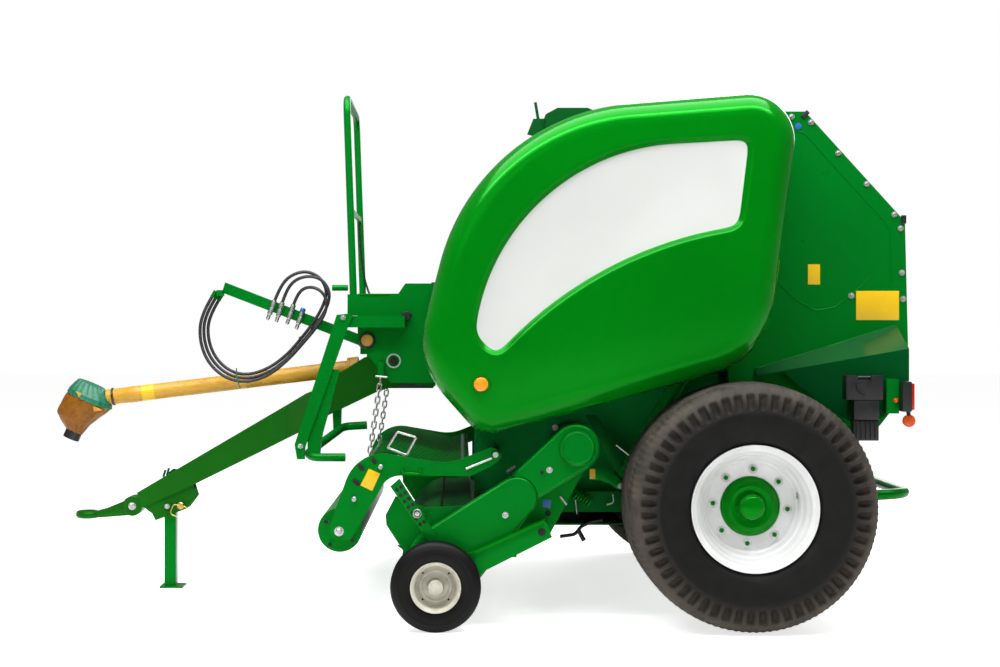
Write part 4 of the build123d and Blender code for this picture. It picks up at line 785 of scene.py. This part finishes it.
def doorFace(place):
    # crowned face that falls away to its lower edge
    x, z = place[:, 0], place[:, 1]
    (x0, z0), (x1, z1) = door["corners"][0][:2], door["corners"][-1][:2]
    crown = 9 * ((x + 560) / 700) ** 2 + 9 * ((z - 1400) / 600) ** 2
    lowerRun = ((x - x0) * (z1 - z0) - (z - z0) * (x1 - x0)) / math.hypot(x1 - x0, z1 - z0)
    belly = np.clip(1 - lowerRun / 330, 0, 1) ** 2 * 42
    return door["face"] - crown - belly


def makeDoorRings():
    # each ring is (its places in x and z, its distance out, 1 where the white panel starts)
    outline = evenOutline(filletedOutline(door["corners"]))
    edgeNormals = outwardNormals(outline)
    inset, insetNormals = byAngle(outline - edgeNormals * door["edge"], edgeNormals)
    window = evenOutline(np.array([p for arc in windowArcs for p in arcPoints(*arc, 60)]), soften=380)
    windowNormals = outwardNormals(window)
    outset, outsetNormals = byAngle(window + windowNormals * door["lip"], windowNormals)
    level = np.ones(door["steps"])
    # skirt and rounded edge, from the back to the face
    rings = [(inset + insetNormals * (door["edge"] - 1), level * (door["back"] + rise), 0)
             for rise in (0, 6, 30, 90, 150, 200)]
    for turn in [math.pi / 2 * k / 14 for k in range(1, 15)]:
        rings.append((inset + insetNormals * (door["edge"] - 1) * math.cos(turn),
                      doorFace(inset) - door["edge"] + door["edge"] * math.sin(turn), 0))
    # face between the edge and the window's lip
    for k in range(1, 16):
        place = inset + (outset - inset) * k / 16
        rings.append((place, doorFace(place), 0))
    # the face rolls over the lip and falls to the flat panel
    for inward, fall in ((0, 0), (3, 0.2), (6, 0.9), (9, 2.4), (12, 4.6), (15, 7.6)):
        place = outset - outsetNormals * inward
        rings.append((place, np.maximum(doorFace(place) - fall, door["panel"] + 1), 0))
    for inward, above in ((20, 6), (24, 3), (27, 1)):
        rings.append((outset - outsetNormals * inward, np.minimum(rings[-1][1] - 0.5, door["panel"] + above), 0))
    return rings + [(outset - outsetNormals * 31, level * door["panel"], 1)]


doorRings = makeDoorRings()
for hand, side in sides.items():
    steps = door["steps"]
    points = [(float(x), side * float(y), float(z))
              for place, distance, kind in doorRings for (x, z), y in zip(place, distance)]
    last = (len(doorRings) - 1) * steps
    faces = gridFaces(len(doorRings), steps) + [tuple(range(last, last + steps))]
    indices = [kind for place, distance, kind in doorRings[1:] for step in range(steps)] + [1]
    skin = finishMesh(f"doorSkin_{hand}", points, faces, ["gelCoatDoor", "vinylPanel"], indices, crease=60)
    carrier = bpy.data.objects.new(f"doorSkin_{hand}", skin)
    link(carrier)
    wall = carrier.modifiers.new("wall", "SOLIDIFY")
    wall.thickness = door["wall"] * mm
    wall.offset = -1 if skin.polygons[len(skin.polygons) // 2].normal.y * side > 0 else 1
    placePiece(f"door_{hand}", takeMesh(carrier, f"door_{hand}"), f"{hand}_door", [f"{hand}_door"])
# knuckles on the hinge pins and the leaves that carry the shell
hinge = {"x": (-765, -675, -945, -855), "y": 768, "z": 1962, "radius": 13, "leaf": (1970, 24, 18)}
pair(rodPiece, "doorKnuckles", [
    (flatLine(hinge["y"], (x - hinge["radius"], hinge["z"]), (x + hinge["radius"], hinge["z"])), hinge["radius"])
    for x in hinge["x"]], "enamelledPlate", "{}_door", "door_green")
pair(platePiece, "doorLeaves", [(rectangle(x, *hinge["leaf"]), 776, 800) for x in hinge["x"]], "enamelledPlate",
     "{}_door", "door_green")
# round marker lamp in its moulded ring
lampSpot = (-62, 1111, 915)
pair(turnedPiece, "doorLampRing", [([(26, -6), (31, -4), (35, 0), (36, 6), (34, 10), (29, 10), (27, 6), (27, 0)],
                                    lampSpot, outward)], "gelCoatDoor", "{}_door", "door_green")
pair(turnedPiece, "doorLamp", [([(27, -2), (27, 7), (24, 10), (16, 12.5), (8, 13.5), (0, 14)], lampSpot, outward)],
     "amberLens", "{}_door", "lamp_plastic")
print("doors")

# Chains between the headstock and the wind guard
chain = {"top": (342, 420, 925.7), "foot": (392, 420, 580.3), "links": 13, "end": 6, "keep": 0.675}
run = Vector(chain["foot"]) - Vector(chain["top"])
pitch = (run.length - 2 * chain["end"]) / chain["links"]
lean = math.degrees(math.atan2(-run.z, run.x))
chainTop, chainWay = Vector(chain["top"]), run.normalized()
places = [(*(chainTop + chainWay * (chain["end"] + pitch * (number + 0.5))), 90 if number % 2 else 0, lean, 0)
          for number in range(chain["links"])]
for (hand, side), links in zip(sides.items(), pair(
        repeatPiece, "chain", places, "zincPlating", "root", "chain_steel", ["guard_chains"], tree="links",
        sizes={"Wire Radius": 3.4, "Link Length": pitch + 6.6, "Link Width": 17})):
    x, y, z = chain["top"]
    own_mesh(links)
print("chains")

# Pickup reel with its double spring tines, and the bands between them
reel = {"x": 75, "z": 240, "bars": 5, "ring": 110, "tip": 188, "first": 10, "pitch": 75, "count": 24, "half": 922}
bars, tines, coils = [], [], []
for bar in range(reel["bars"]):
    angle = math.radians(360 / reel["bars"] * bar + reel["first"])
    x, z = onCircle(reel["x"], reel["z"], reel["ring"], angle)
    bars.append(([(x, -reel["half"], z), (x, reel["half"], z)], 11))
    for number in range(reel["count"]):
        y = (number - (reel["count"] - 1) / 2) * reel["pitch"]
        tines.append((x, y, z, 0, 90 - math.degrees(angle), 0))
        coils.append((x, y - 12, z, -90, 0, 0))
# painted shade: the reel's bars and discs are in the darker shaded enamel
rodPiece("reelBars", bars + [([(reel["x"], -950, reel["z"]), (reel["x"], 950, reel["z"])], 19)], "shadedEnamel", "reel",
         "bare_steel", ["pickup_reel"])
turnedPiece("reelDiscs", [([(0, -4), (120, -4), (127, -3), (128, 0), (127, 3), (120, 4), (0, 4)],
                           (reel["x"], y, reel["z"]), outward) for y in (-920, -310, 310, 920)],
            "shadedEnamel", "reel", "bare_steel", steps=48)
repeatPiece("reelTines", tines, "springSteel", "reel", "bare_steel", tree="tines", sizes={
    "Wire Radius": 3, "Reach": reel["tip"] - reel["ring"] - 1, "Lean": -14})
repeatPiece("reelCoils", coils, "springSteel", "reel", "bare_steel", tree="springs", sizes={
    "Wire Radius": 2.6, "Coil Radius": 14, "Coil Height": 24, "Turns": 3})

band = {"radius": 161, "count": 25, "low": -75, "high": 100, "steps": 40, "tail": (-29, 412.8),
        "section": [(-20, -1.5), (-18.5, 0), (-9, 0), (-7, 2), (7, 2), (9, 0), (18.5, 0), (20, -1.5), (20, -4),
                    (-20, -4)]}
line = []
for step in range(band["steps"] + 1):
    angle = math.radians(band["low"] + (band["high"] - band["low"]) * step / band["steps"])
    line.append(onCircle(reel["x"], reel["z"], band["radius"], angle))
x, z = line[-1]
line += [(x + (band["tail"][0] - x) * share, z + (band["tail"][1] - z) * share) for share in (0.5, 1)]
points, faces = [], []
for number in range(band["count"]):
    y = (number - (band["count"] - 1) / 2) * reel["pitch"]
    faces += gridFaces(len(line), len(band["section"]), len(points), capped=True)
    for step, (x, z) in enumerate(line):
        ahead, behind = line[min(step + 1, len(line) - 1)], line[max(step - 1, 0)]
        run = Vector((ahead[0] - behind[0], ahead[1] - behind[1])).normalized()
        points += [(x + run.y * rise, y + across, z - run.x * rise) for across, rise in band["section"]]
# painted shade: the bands are in the darker shaded enamel
placePiece("pickupBands", finishMesh("pickupBands", points, faces, ["shadedEnamel"]), "pickup")
print("pickup reel and bands")

# Guarded drive shaft
shaft = {"rear": Vector((474, 0, 956)), "front": Vector((1557, 0, 825)), "bellMouth": Vector((1633, 0, 813)),
         "bellAlong": Vector((0.399, 0, -0.917)).normalized(), "bellFront": Vector((0.917, 0, 0.399)).normalized(),
         "steps": 56}
shaftRun = shaft["front"] - shaft["rear"]
shaftWay = shaftRun.normalized()
tubeProfile = [(0, -20), (42, -20), (46, -17), (46, 10), (44, 16), (46, 20), (46, 26), (43, 30), (34, 31), (34, 120),
               (36, 122), (36, 150), (34, 152), (34, 470), (35.5, 473), (35.5, 480), (34, 483), (34, 940), (35.5, 943),
               (35.5, 990), (34, 993), (34, shaftRun.length - 0.5), (0, shaftRun.length - 0.5)]
turnedPiece("shaftGuard", [(tubeProfile, shaft["rear"], shaftRun)], "polyethyleneYellow", "drive_shaft",
            "yellow_plastic", ["pto_guard"], steps=shaft["steps"])
turnedPiece("shaftClamp", [([(34, 0), (38.5, 1), (38.5, 9), (34, 10)], shaft["front"] - shaftWay * 34, shaftRun)],
            "polypropyleneBlack", "drive_shaft", "yellow_plastic", steps=shaft["steps"])
# bare sleeve where the tube carries its plates
turnedPiece("shaftSleeve", [([(33.5, 0), (34.9, 0.3), (34.9, 55.7), (33.5, 56)], shaft["rear"] + shaftWay * 878,
                             shaftRun)], "yellowFilm", "drive_shaft", "yellow_plastic", steps=shaft["steps"])


def loftPiece(name, rings, material, stoodFor, ribs, ribDepth, steps=72, rows=26):
    # rings of (distance, shift to the front, radius), eased between and ribbed round
    points = []
    table = np.array(rings, float)
    table = table[np.argsort(table[:, 0])]
    for distance in np.linspace(table[0, 0], table[-1, 0], rows):
        shift, radius = (np.interp(distance, table[:, 0], table[:, k]) for k in (1, 2))
        for step in range(steps):
            angle = 2 * math.pi * step / steps
            reach = radius - ribDepth * max(0, math.cos(ribs * angle)) ** 3
            points.append(shaft["bellMouth"] + shaft["bellAlong"] * distance
                          + shaft["bellFront"] * (shift + reach * math.cos(angle))
                          + Vector(outward) * reach * math.sin(angle))
    faces = gridFaces(rows, steps, capped=True)
    placePiece(name, finishMesh(name, points, faces, [material], crease=50), "drive_shaft", stoodFor)


loftPiece("shaftBell", [(0, 0, 101), (25, 9, 98), (60, 21, 88), (85, 29, 83), (100, 32, 77), (125, 22, 60),
                        (150, 8, 38)], "polyethyleneOrange", ["pto_bell"], ribs=9, ribDepth=4)
loftPiece("shaftCollar", [(-1, 0, 104.5), (-8, 1, 102), (-20, 2, 100), (-38, 7, 88), (-52, 13, 76), (-69.5, 18, 62)],
          "polyethyleneGreen", ["pto_collar"], ribs=16, ribDepth=5)
# the collar's latch tabs
platePiece("latchTabs", [
    ([(1672, 856), (1646, 846), (1655, 824)], 92, 98), ([(1604, 798), (1560, 772), (1596, 768)], 79, 86),
    ([(1672, 856), (1655, 824), (1646, 846)], -98, -92)], "polyethyleneYellow", "drive_shaft", "yellow_plastic")
print("drive shaft")

# Tailgate trim on both sides: bolted edge flange, seam, bare plates and corner rubbers
tailgateBolts = [(-1298, 1963), (-1375, 1941), (-1483, 1819), (-1596, 1697), (-1705, 1576), (-1730, 1521),
                 (-1735, 1345), (-1535, 1254), (-1740, 1241)]
trimY = 690
pair(repeatPiece, "tailgateBolts", [(x, trimY + 2, z, -90, 0, 0) for x, z in tailgateBolts], "zincPlating", "tailgate")
pair(rodPiece, "tailgateSeam", [
    (flatLine(trimY, (-1245, 1306), (-1312, 1239), (-1391, 1195), (-1470, 1207), (-1560, 1280), (-1610, 1330)), 2.2),
    (flatLine(trimY, (-1296, 1915), (-1350, 1898), (-1450, 1786), (-1565, 1660), (-1676, 1540), (-1690, 1500),
              (-1694, 1300)), 2.2)], "enamelledPlate", "tailgate", bend=20)
pair(platePiece, "barePlates", [(rectangle(-1387, 1338, 48, 80), trimY, trimY + 1.5),
                                (rectangle(-1639, 1215, 170, 116), trimY, trimY + 1.5)], "yellowFilm", "tailgate",
     bevel=0.5)
pair(platePiece, "bluePlate", [(disc(-1324, 1925, 13), trimY, trimY + 3)], "blueCap", "tailgate", bevel=0.5)
pair(platePiece, "cornerRubbers", [(rectangle(-1352, 1972, 34, 18, -45), trimY - 6, trimY + 8),
                                   (rectangle(-1742, 1556, 20, 34), trimY - 6, trimY + 8)], "polypropyleneBlack",
     "tailgate", bevel=3)
# rear lamp: black housing, red lens round its corner, amber marker on a stalk
pair(platePiece, "lampHousing", [(rectangle(-1683, 864, 38, 116), 903, 978)], "polypropyleneBlack", "tailgate",
     "lamp_plastic", ["tail_lamps"], bevel=7)
pair(platePiece, "lampLens", [(rectangle(-1704, 864, 17, 104), 908, 974)], "redLens", "tailgate", "lamp_plastic",
     bevel=6)
pair(turnedPiece, "bracketStub", [([(9, 0), (9, 8), (6, 14), (0, 15)], (-1650, 930, 848), outward)], "orangeLens",
     "tailgate", "lamp_plastic", steps=24)
pair(turnedPiece, "markerLamp", [([(24, -8), (24, 2), (21, 6), (14, 8), (0, 8.5)], (-1700, 935, 770), outward)],
     "orangeLens", "tailgate", "lamp_plastic")
pair(rodPiece, "markerStalk", [(flatLine(935, (-1696, 812), (-1699, 790)), 8)], "polypropyleneBlack", "tailgate",
     "lamp_plastic")
# wheel chock in its holder: moulded halves with a grip sunk in the top and ribs on the lower slab
chock = {"x": -1534, "inner": 885, "outer": 954, "ribs": (-36, -18, 0, 18, 36),
         "top": [(-1456, 851), (-1456, 944), (-1500, 944), (-1504, 926), (-1550, 926), (-1554, 944), (-1597, 944),
                 (-1597, 851)]}
pair(platePiece, "wheelChock", [
    (chock["top"], chock["inner"], chock["outer"]),
    (rectangle(chock["x"], 812, 96, 74), chock["inner"], chock["outer"]),
    (rectangle(chock["x"], 734, 96, 78), chock["inner"], 946)]
    + [(rectangle(chock["x"] + shift, 734, 7, 66), 944, 951) for shift in chock["ribs"]],
     "polypropyleneBlack", "tailgate", "black_plastic", ["wheel_chocks"], bevel=2.5)
pair(rodPiece, "chockGrip", [(flatLine(930, (-1500, 936), (-1554, 936)), 6),
                             ([(-1497, 957, 915), (-1500, 962, 885), (-1530, 962, 870)], 4)],
     "polypropyleneBlack", "tailgate", "black_plastic", bend=12)
print("tailgate trim")

# Fasteners and fittings of the pickup and the wind guard
guardFace = 997
pair(repeatPiece, "rollerBolts", [(474, guardFace, 355, -90, 0, 0)], "zincPlating", "wind_guard",
     sizes=boltSizes(12, 10, 18, 4))
# painted shade: the guard's holes are near-black discs standing in for the shade inside them
pair(platePiece, "guardHoles", [(disc(*spot), guardFace - 1, guardFace + 0.6) for spot in (
    (523, 392, 9), (423, 322, 9), (508, 306, 8))], "openBore", "wind_guard", bevel=0.2)
# painted shade: each slot is a near-black oval inside a raised rim, standing in for the shade inside it
guardSlots = ((342, 622, 30, 20, 60), (390, 596, 34, 20, 45), (408, 540, 34, 20, 40))
for name, rim, rise, material, bevel in (("guardSlotRims", 9, 0.8, "gelCoatDoor", 0.3),
                                         ("guardSlots", 0, 1.3, "openBore", 0.2)):
    pair(platePiece, name, [(oval(x, z, long + rim, wide + rim, tilt), guardFace - 1, guardFace + rise)
                            for x, z, long, wide, tilt in guardSlots], material, "wind_guard", bevel=bevel)
# hose cleats, bare plate and pins between the arms
pair(rodPiece, "guardCleats", [(flatLine(1003, (235, 592), (228, 573), (198, 575), (171, 571), (163, 592)), 5)],
     "gelCoatDoor", "wind_guard", bend=10)
pair(platePiece, "guardPlate", [([(361, 592), (318, 574.5), (348, 508), (393, 529)], guardFace, guardFace + 1.5)],
     "yellowFilm", "wind_guard", bevel=0.5)
pair(turnedPiece, "guardPins", [([(9, 0), (9, 16), (7, 18), (0, 18)], (x, guardFace, z), outward)
                                for x, z in ((316, 600), (416, 478))], "zincPlating", "wind_guard")
pair(rodPiece, "guardRod", [(flatLine(1001, (-7, 592), (-104, 632)), 5), ([(-118, 998, 646), (-118, 1019, 646)], 11)],
     "zincPlating", "wind_guard")
# height strap with two rows of holes drawn as painted shade discs, its pin and the pin's ring
strap = {"outline": [(243, 561), (278, 531), (116, 298), (78, 308)], "middle": (201, 459), "way": (0.5548, 0.832),
         "pin": (176, 431), "rows": (-9.5, 9.5), "holes": (-78, -52, -26, 0, 26, 52, 78)}
(middleX, middleZ), (wayX, wayZ), (pinX, pinZ) = strap["middle"], strap["way"], strap["pin"]
pair(platePiece, "heightStrap", [(strap["outline"], 1061.2, 1063.5)], "enamelledPlate", "pickup")
pair(platePiece, "strapHoles", [
    (disc(middleX + along * wayX + aside * wayZ, middleZ + along * wayZ - aside * wayX, 7.5), 1062, 1064)
    for along in strap["holes"] for aside in strap["rows"]], "openBore", "pickup", bevel=0.2)
pair(turnedPiece, "strapPin", [([(6, 0), (6, 22), (9, 23), (9, 30), (0, 31)], (pinX, 1060, pinZ), outward)],
     "zincPlating", "pickup")
pair(rodPiece, "strapRing", [(flatLine(1084, *(onCircle(pinX, pinZ, 15, t / 12 * math.pi) for t in range(25))), 1.8)],
     "zincPlating", "pickup")
pair(platePiece, "armFlange", [([(-300, 400), (-296, 409), (-20, 285), (-24, 276)], 1056, 1100)], "gelCoatDoor",
     "pickup", bevel=2)
# painted shade: the arm's hole is a near-black disc standing in for the shade inside it
pair(platePiece, "armHole", [(disc(-289, 363, 15), 1088, 1089.8)], "openBore", "pickup", bevel=0.2)
rodPiece("strapHolder", [(flatLine(976, (254, 730), (182, 710), (219, 642), (291, 670), (254, 730)), 5)],
         "zincPlating", "wind_guard", bend=6)
# bolts, boss and rim of the drive cover on the left side
repeatPiece("coverBolts", [(-154, 1050, 422, -90, 0, 0), (-320, 1045, 591, -90, 0, 0)], "zincPlating", "pickup")
turnedPiece("coverBoss", [([(67, 0), (67, 9), (65, 15), (60, 19), (55, 17), (52, 12), (48, 10), (0, 10)],
                           (-425, 1048, 673), outward)], "enamelledPlate", "pickup", steps=56)
# painted shade: the cover's hole is a near-black disc standing in for the shade inside it
platePiece("coverHole", [(disc(-292, 582, 7), 1049, 1051)], "openBore", "pickup", bevel=0.2)
rodPiece("coverLatch", [(flatLine(1052, (-158, 583), (-192, 606)), 6)], "polypropyleneBlack", "pickup")
pair(platePiece, "sidePlate", [(rectangle(-315, 456, 30, 30, 8), 951, 953.5)], "blueCap", "pickup", bevel=0.5)
# painted shade: the side hole is a near-black disc standing in for the shade inside it
pair(platePiece, "sideHole", [(disc(-319, 419, 12), 951, 953)], "openBore", "pickup", bevel=0.2)
pair(rodPiece, "sidePin", [(flatLine(958, (-366, 484), (-391, 452)), 5)], "zincPlating", "pickup")

# Strut, spring and levers under the chamber, between the pickup and the wheel
# painted shade: the strut is in the darker shaded enamel
pair(platePiece, "chamberStrut", [([(-473, 784), (-519, 784), (-660, 612), (-660, 520), (-625, 506), (-526, 703)],
                                   722, 731)], "shadedEnamel", "root")
pair(platePiece, "latchArm", [(
    [(-494, 574), (-518, 574), (-560, 567), (-602, 542), (-638, 507), (-630, 489), (-602, 492), (-574, 514),
     (-532, 528), (-494, 531)], 738, 746)], "enamelledPlate", "root")
pair(platePiece, "latchPlate", [(rectangle(-505, 552, 22, 40), 745, 748)], "yellowFilm", "root", bevel=0.5)
pair(repeatPiece, "latchBolts", [(-616, 746, 504, -90, 0, 0), (-361, 690, 731, -90, 0, 0)], "zincPlating", "root")
pair(repeatPiece, "latchSpring", [(-432, 742, 473, 0, -116, 0)], "enamelledPlate", "root", tree="springs", sizes={
    "Wire Radius": 4, "Coil Radius": 16, "Coil Height": 72, "Turns": 6})
pair(rodPiece, "latchLevers", [
    (flatLine(742, (-377, 306), (-436, 314), (-460, 345), (-503, 365)), 7),
    (flatLine(742, (-448, 333), (-472, 290)), 9), (flatLine(742, (-503, 365), (-545, 372)), 6)],
     "springSteel", "root", bend=12)
pair(rodPiece, "latchWires", [
    (flatLine(748, (-437, 451), (-444, 395)), 3), (flatLine(748, (-560, 430), (-588, 440), (-585, 473)), 3),
    (flatLine(750, (-598, 666), (-682, 599)), 3.5)], "zincPlating", "root", bend=8)
print("pickup fittings")

# Fittings of the hitch and the headstock
capSpot, pivotSpot = (400, 400.5, 1075), (290, 400.5, 991)
turnedPiece("capRing", [([(34, 0), (34, 12), (31, 17), (25, 17), (24, 12), (24, 0)], capSpot, outward)],
            "polypropyleneBlack", "root", "black_plastic", ["round_cap"])
turnedPiece("capDisc", [([(25, 2), (24, 13), (10, 15), (0, 15)], capSpot, outward)], "polyethyleneYellow", "root",
            "black_plastic")
turnedPiece("pivotNut", [([(17, 0), (17, 13), (14, 16), (0, 16)], pivotSpot, outward)], "springSteel", "root",
            "chain_steel", steps=6)
turnedPiece("pivotRing", [([(24, 0), (24, 4), (30, 4), (30, 0)], pivotSpot, outward)], "zincPlating", "root",
            "chain_steel")
couplings = [route[:2] for length, route in hoseRoutes] + [((690, 124, 1206), (674, 124, 1252))]
couplingProfile = [(7, 0), (10.5, 1), (11.2, 4), (11.2, 24), (9, 26), (9, 34), (11.4, 36), (11.4, 62), (8.5, 66),
                   (8.5, 84), (6, 89.5), (0, 89.5)]
coupled = [(Vector(start), Vector(start) - Vector(onward)) for start, onward in couplings]
turnedPiece("hoseCouplings", [(couplingProfile, *way) for way in coupled], "zincPlating", "root", "chain_steel",
            ["hose_couplings"], steps=24)
turnedPiece("couplingCap", [([(0, -8), (9, -7), (12, 0), (12, 10), (7, 14)], *coupled[-1])], "blueCap", "root",
            "chain_steel")
rodPiece("hoseTie", [([(660, 108, 1128), (650, 180, 1134)], 7), ([(704, 108, 1082), (694, 180, 1086)], 7)],
         "polypropyleneBlack", "root", "black_plastic")
repeatPiece("hitchBolts", [(*spot, -90, 0, 0) for spot in ((494, 482, 1169), (668, 482, 644), (1285, 56, 355))],
            "zincPlating", "root", "chain_steel", sizes=boltSizes(8, 8, 11, 3))
repeatPiece("eyeBolt", [(1438, 46, 355, -90, 0, 0)], "zincPlating", "root", "chain_steel",
            sizes=boltSizes(15, 12, 17, 4))
# forged towing eye: a rounded ring, a shank that rises to the clamp, and the clamp itself
turnedPiece("towingEye", [
    ([(26, -9), (30, -14), (38, -17), (46, -14), (51, -7), (51, 7), (46, 14), (38, 17), (30, 14), (26, 9), (26, -9)],
     (1640, 0, 316), (0, 0, 1)),
    ([(0, 0), (41, 0), (43, 2), (43, 90), (41, 92), (0, 92)], (1438, -46, 355), outward)], "weatheredEnamel", "root",
    stoodFor=["towing_eye"], steps=64)
platePiece("eyeShank", [([(1603, 303), (1603, 330), (1560, 341), (1482, 373), (1450, 394), (1430, 390), (1430, 318),
                          (1462, 313), (1560, 305)], -36, 36)], "weatheredEnamel", "root", bevel=6)
# lock pin of the stand with its spring clip, the rear loop of the ears and the hooks on top of the beam
turnedPiece("standPin", [([(14, 0), (16, 2), (16, 6), (12, 10), (0, 11)], (1226, 58, 358), outward)],
            "passivatedBrassTone", "root", "chain_steel", steps=32)
rodPiece("standClip", [
    (flatLine(66, (1226, 358), (1239, 363), (1256, 363), (1268, 335), (1264, 321), (1239, 310)), 2.6),
    (flatLine(66, (1226, 358), (1211, 357), (1192, 343)), 2.6)], "passivatedBrassTone", "root", "chain_steel", bend=5)
rodPiece("earLoop", [(flatLine(40, (1192, 434), (1162, 426), (1154, 407), (1175, 379)), 6)], "weatheredEnamel",
         "root", bend=10)
# painted shade: the hooks are in the darker shaded enamel
rodPiece("beamHooks", [(flatLine(20, (1308, 480), (1298, 510)), 5), (flatLine(20, (1292, 486), (1283, 518)), 5),
                       (flatLine(20, (1283, 494), (1262, 512), (1240, 506)), 5)], "shadedEnamel", "root", bend=6)
# chain shackle at the headstock, tie round the hose bundle
rodPiece("chainShackle", [([(364, 424, 928), (316, 424, 923)], 5), ([(342, 424, 926), (342, 420, 905)], 4)],
         "zincPlating", "root", "chain_steel")
rodPiece("hoseStrap", [([(968, 186, 957), (966, 188, 915), (952, 184, 870)], 2.6)], "polyethyleneGreen", "root",
         "black_plastic", bend=10)
turnedPiece("knobStub", [([(7, 0), (7, 12), (19, 14), (21, 24), (17, 32), (0, 34)], (236, 400, 1176), outward)],
            "polypropyleneBlack", "root", "black_plastic", steps=28)
platePiece("deckEdge", [([(429, 1262), (309, 1262), (309, 1269), (429, 1269)], 396, 403)], "gelCoatDoor", "root",
           bevel=1.5)
rodPiece("stubTube", [([(497, 120, 1300), (565, 120, 1300)], 13)], "enamelledPlate", "root")
rodPiece("hoopCable", [([(476, -322, 1600), (470, -334, 1480), (452, -338, 1350), (428, -330, 1280),
                         (400, -300, 1269)], 5)], "polypropyleneBlack", "root", "black_plastic", bend=60)
print("hitch fittings")
